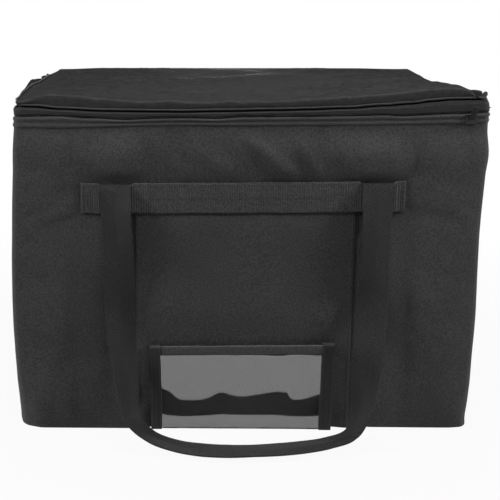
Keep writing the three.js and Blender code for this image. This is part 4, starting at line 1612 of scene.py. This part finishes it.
# %% [markdown]
# ## Window
#
# The clear pocket at the bottom of the patch takes an order slip. Its vinyl is a real sheet with an
# open slot behind it. It buckles between its bindings, which is what breaks up the reflections. The
# side and top bindings are tape folded over the vinyl's edge, and the bottom edge is sewn down.

# %% The vinyl
WINDOW_LEFT, WINDOW_RIGHT, WINDOW_LOW, WINDOW_HIGH = -107.5, 97.0, 1.0, 99.5
# How much the vinyl comes forward per millimetre of height, at mid height, from left to right.
BUCKLES = [
    (-107, 0.054), (-98, 0.02), (-86, -0.045), (-77, -0.057), (-58, -0.055), (-45, -0.036), (-34, 0.0),
    (-20, -0.022), (-2, -0.036), (18, -0.012), (38, 0.015), (48, 0.0), (55, -0.045), (61, -0.058),
    (74, -0.047), (86, -0.02), (97, -0.01),
]
SLICE = 2.0


def vinyl_slope(x, z):
    middle = glide(x, BUCKLES)
    foot = -0.035 + 0.25 * middle
    return ease(z, [(0, foot), (20, foot), (40, middle), (54, middle), (78, 0)])


def vinyl_out(x, z):
    """How far the vinyl stands off the wall: the buckles' slopes added up from the bottom."""
    slices = max(round(z / SLICE), 1)
    return 10.6 + sum(vinyl_slope(x, z * (k + 0.5) / slices) for k in range(slices)) * z / slices


def vinyl_point(x, z):
    return (x, -HALF_D - vinyl_out(x, z), z)


across = steps((WINDOW_LEFT, WINDOW_RIGHT, 96))
window = sheet_grid("window_vinyl_sheet", across, steps((WINDOW_LOW, WINDOW_HIGH, 44)), vinyl_point)
thicken(window, 0.9)
dress(window, vinyl, "front_wall", "window_vinyl", slot="vinyl", angle=80)


# %% The bindings
def soft_block(name, low, high, bevel, cuts, wobble, seed, skew):
    """A cube at its size and place, subdivided, bevelled, skewed and made a little uneven."""
    bpy.ops.object.select_all(action="DESELECT")
    size = [b - a for a, b in zip(low, high)]
    bpy.ops.mesh.primitive_cube_add(size=1, location=[(a + b) / 2 * MM for a, b in zip(low, high)])
    block = bpy.context.object
    block.name = block.data.name = name
    block.scale = [s * MM for s in size]
    bpy.ops.object.transform_apply(location=True, rotation=False, scale=True)
    apply_modifier(block, "BEVEL", width=bevel * MM, segments=3)
    long_axis = size.index(max(size))
    shape = bmesh.new()
    shape.from_mesh(block.data)
    for k in range(1, cuts):
        normal, spot = [0, 0, 0], [0, 0, 0]
        normal[long_axis] = 1
        spot[long_axis] = (low[long_axis] + size[long_axis] * k / cuts) * MM
        cut_through(shape, spot, normal)
    for vertex in shape.verts:
        x, y, z = vertex.co / MM
        vertex.co.x += bumpy(x, y + seed, z, 20, wobble) * MM
        vertex.co.y += min(bumpy(x, seed, z, 16, wobble), 0.2) * MM
        vertex.co.z += bumpy(x + seed, y, z, 20, wobble) * MM
        if size[0] < size[2]:
            vertex.co.x += skew * (z - low[2]) / size[2] * MM
        else:
            vertex.co.z += skew * (x - low[0]) / size[0] * MM
    shape.to_mesh(block.data)
    shape.free()
    projection = {"cube_size": 1.0, "correct_aspect": False, "scale_to_bounds": False}
    edit_all(block, bpy.ops.uv.cube_project, **projection)
    return block


TAPE_FRONT, TAPE_BACK = -HALF_D - 12.4, -HALF_D - 2.7
TOP_TAPE_SKEW = 2.8
# Each binding: its node, its corners, its skew, its wobble, its seed and its finish.
BINDINGS = {
    # Painted shade: both side bindings get the very dark tape, a shaded copy of the top binding's tape.
    "window_side_tape_left": (
        "window_binding_left", (-119.0, TAPE_FRONT, 0.4), (-104.9, TAPE_BACK, 109.5),
        -2.3, 0.55, 3, dark_tape,
    ),
    "window_side_tape_right": (
        "window_binding_right", (91.8, TAPE_FRONT, 0.4), (107.3, TAPE_BACK, 114.0),
        2.4, 0.55, 8, dark_tape,
    ),
    # Painted highlight: the top binding gets the paler binding tape, for the light it catches facing up.
    "window_top_tape": (
        "window_binding_top", (-107.0, -HALF_D - 11.4, 98.8), (95.0, -HALF_D - 8.2, 110.7),
        TOP_TAPE_SKEW, 0.55, 13, binding_tape,
    ),
    "window_bottom_tape": (
        "window_bottom_seam", (-104.9, -HALF_D - 10.6, 0.6), (92.5, TAPE_BACK, 2.6),
        0, 0.2, 21, dark_tape,
    ),
}
for name, (node, low, high, skew, wobble, seed, finish) in BINDINGS.items():
    block = soft_block(name, low, high, 0.9, 26, wobble, seed, skew)
    dress(block, finish, "front_wall", node, slot="binding", angle=60)

# %% [markdown]
# ## Sewing
#
# Stitches are small and there are many, so one stitch is modelled as a short bevelled pill and
# copied along each seam. Each run is set on its cloth, half sunk, in rows that a machine would sew.

# %% Runs of stitches
def seam_run(name, body, points, normals, pitch=3.4, length=2.5):
    """Stitches along a line of points, all of one piece."""
    spots, walked, due = [], 0.0, pitch / 2
    for (a, b), normal in zip(zip(points, points[1:]), normals):
        step = (b - a).length
        while due <= walked + step and step > 1e-6:
            along = (b - a).normalized()
            aside = normal.cross(along).normalized()
            spots.append((a.lerp(b, (due - walked) / step), along, aside, normal))
            due += pitch
        walked += step
    run = copies_along(name, small_loop("stitch", length, 0.55, 0.5), spots)
    dress(run, thread, body, angle=40)


def flat_seams(name, body, lines, outward, lift=0.0, **spacing):
    """Numbered runs of stitches along lines of points that all face the same way."""
    outward = Vector(outward)
    for k, line in enumerate(lines):
        points = [Vector(point) + outward * lift for point in line]
        seam_run(f"{name}_{k + 1}", body, points, [outward] * len(points), **spacing)


# %% The stitches of the hems and the flap
stations = wall_stations(pitch=5.0)
for wall, backwards in WALLS:
    normals = [Vector((*wall_path(s)[1], 0)) * (-1 if backwards else 1) for s in stations]
    for k, z in enumerate((SEAM_LOW, SEAM_Z)):
        points = [Vector(wall_hem_point(s, z - HEM_BOTTOM, backwards)) for s in stations]
        points = [point + normal * 0.1 for point, normal in zip(points, normals)]
        seam_run(f"{wall}_hem_stitches_{k + 1}", f"{wall}_wall", points, normals)
for half, (side, end) in HALVES.items():
    lines = [[half_hem_place(side, end * d, z, 0.3) for d in side_steps] for z in (SEAM_LOW, SEAM_Z)]
    flat_seams(f"{half}_hem_stitches", half, lines, (side, 0, 0))

stations = zip_stations(5.0)
normals = [Vector((*zip_path(s)[1], 0)) for s in stations]
flap_line = [Vector(flap_point(s, 3.6)) + normal * 0.1 for s, normal in zip(stations, normals)]
seam_run("flap_stitches", "lid", flap_line, normals)

# %% The stitches of the bands, the patch and the window
TACKS = (-200.5, -185.0, -140.8, -120.0, 114.5, 132.2, 176.5, 186.0)
BAND_SEAMS = (BAND_LOW + 2.4, BAND_LOW + WEB / 2, BAND_HIGH - 2.4)
WINDOW_SEAMS = ((-116.6, -118.9, 111), (-107.0, -109.3, 111), (94.2, 96.4, 113), (104.8, 107.1, 113))
SIDE_SEAM_Y, TOP_SEAM_Y = -HALF_D - 12.55, -HALF_D - 11.55
FACING = (0, -1, 0)

for wall, side in WALL_SIDES:
    up, along = steps((BAND_LOW + 2, BAND_HIGH - 2, 8)), steps((BAND_LEFT + 3, BAND_RIGHT - 3, 90))
    tacks = [[band_point(x, z, side) for z in up] for x in TACKS]
    flat_seams(f"{wall}_band_tack", f"{wall}_wall", tacks, (0, side, 0), 0.12, pitch=2.8, length=2.1)
    rows = [[band_point(x, z, side) for x in along] for z in BAND_SEAMS]
    flat_seams(f"{wall}_band_stitches", f"{wall}_wall", rows, (0, side, 0), 0.12)

up = steps((PATCH_LOW + 4, BAND_LOW - 2, 60))
lines = [[patch_point(x, z) for z in up] for x in (PATCH_LEFT + 3.5, PATCH_RIGHT - 3.5)]
flat_seams("patch_side_stitches", "front_wall", lines, FACING, 0.1)
lines = [
    [(low + (high - low) * (z - 4) / (top - 4), SIDE_SEAM_Y, z) for z in steps((4, top, 20))]
    for low, high, top in WINDOW_SEAMS
]
flat_seams("window_side_stitches", "front_wall", lines, FACING, pitch=3.0, length=2.2)
along = steps((-104, 92, 40))
lines = [[(x, TOP_SEAM_Y, z + TOP_TAPE_SKEW * (x + 107) / 202) for x in along] for z in (101.0, 108.0)]
flat_seams("window_top_stitches", "front_wall", lines, FACING, pitch=3.0, length=2.2)

# %% [markdown]
# ## Sliders and pulls
#
# Each slider is a small enamelled casting with a crown over its middle. A short tab of tape passes
# through the crown as a pull: a bevelled copy of its solid.

# %% The sliders' finish and the pulls
for place in ("front", "side"):
    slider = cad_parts[f"{place}_slider"]
    slider.data.materials.clear()
    slider.data.materials.append(enamel)
    tab = solid_copy(f"{place}_pull_tab", f"{place}_slider_pull", 0.55, 3, 30)
    dress(tab, dark_tape, f"{place}_pull", f"{place}_slider_pull", slot="webbing", angle=60)
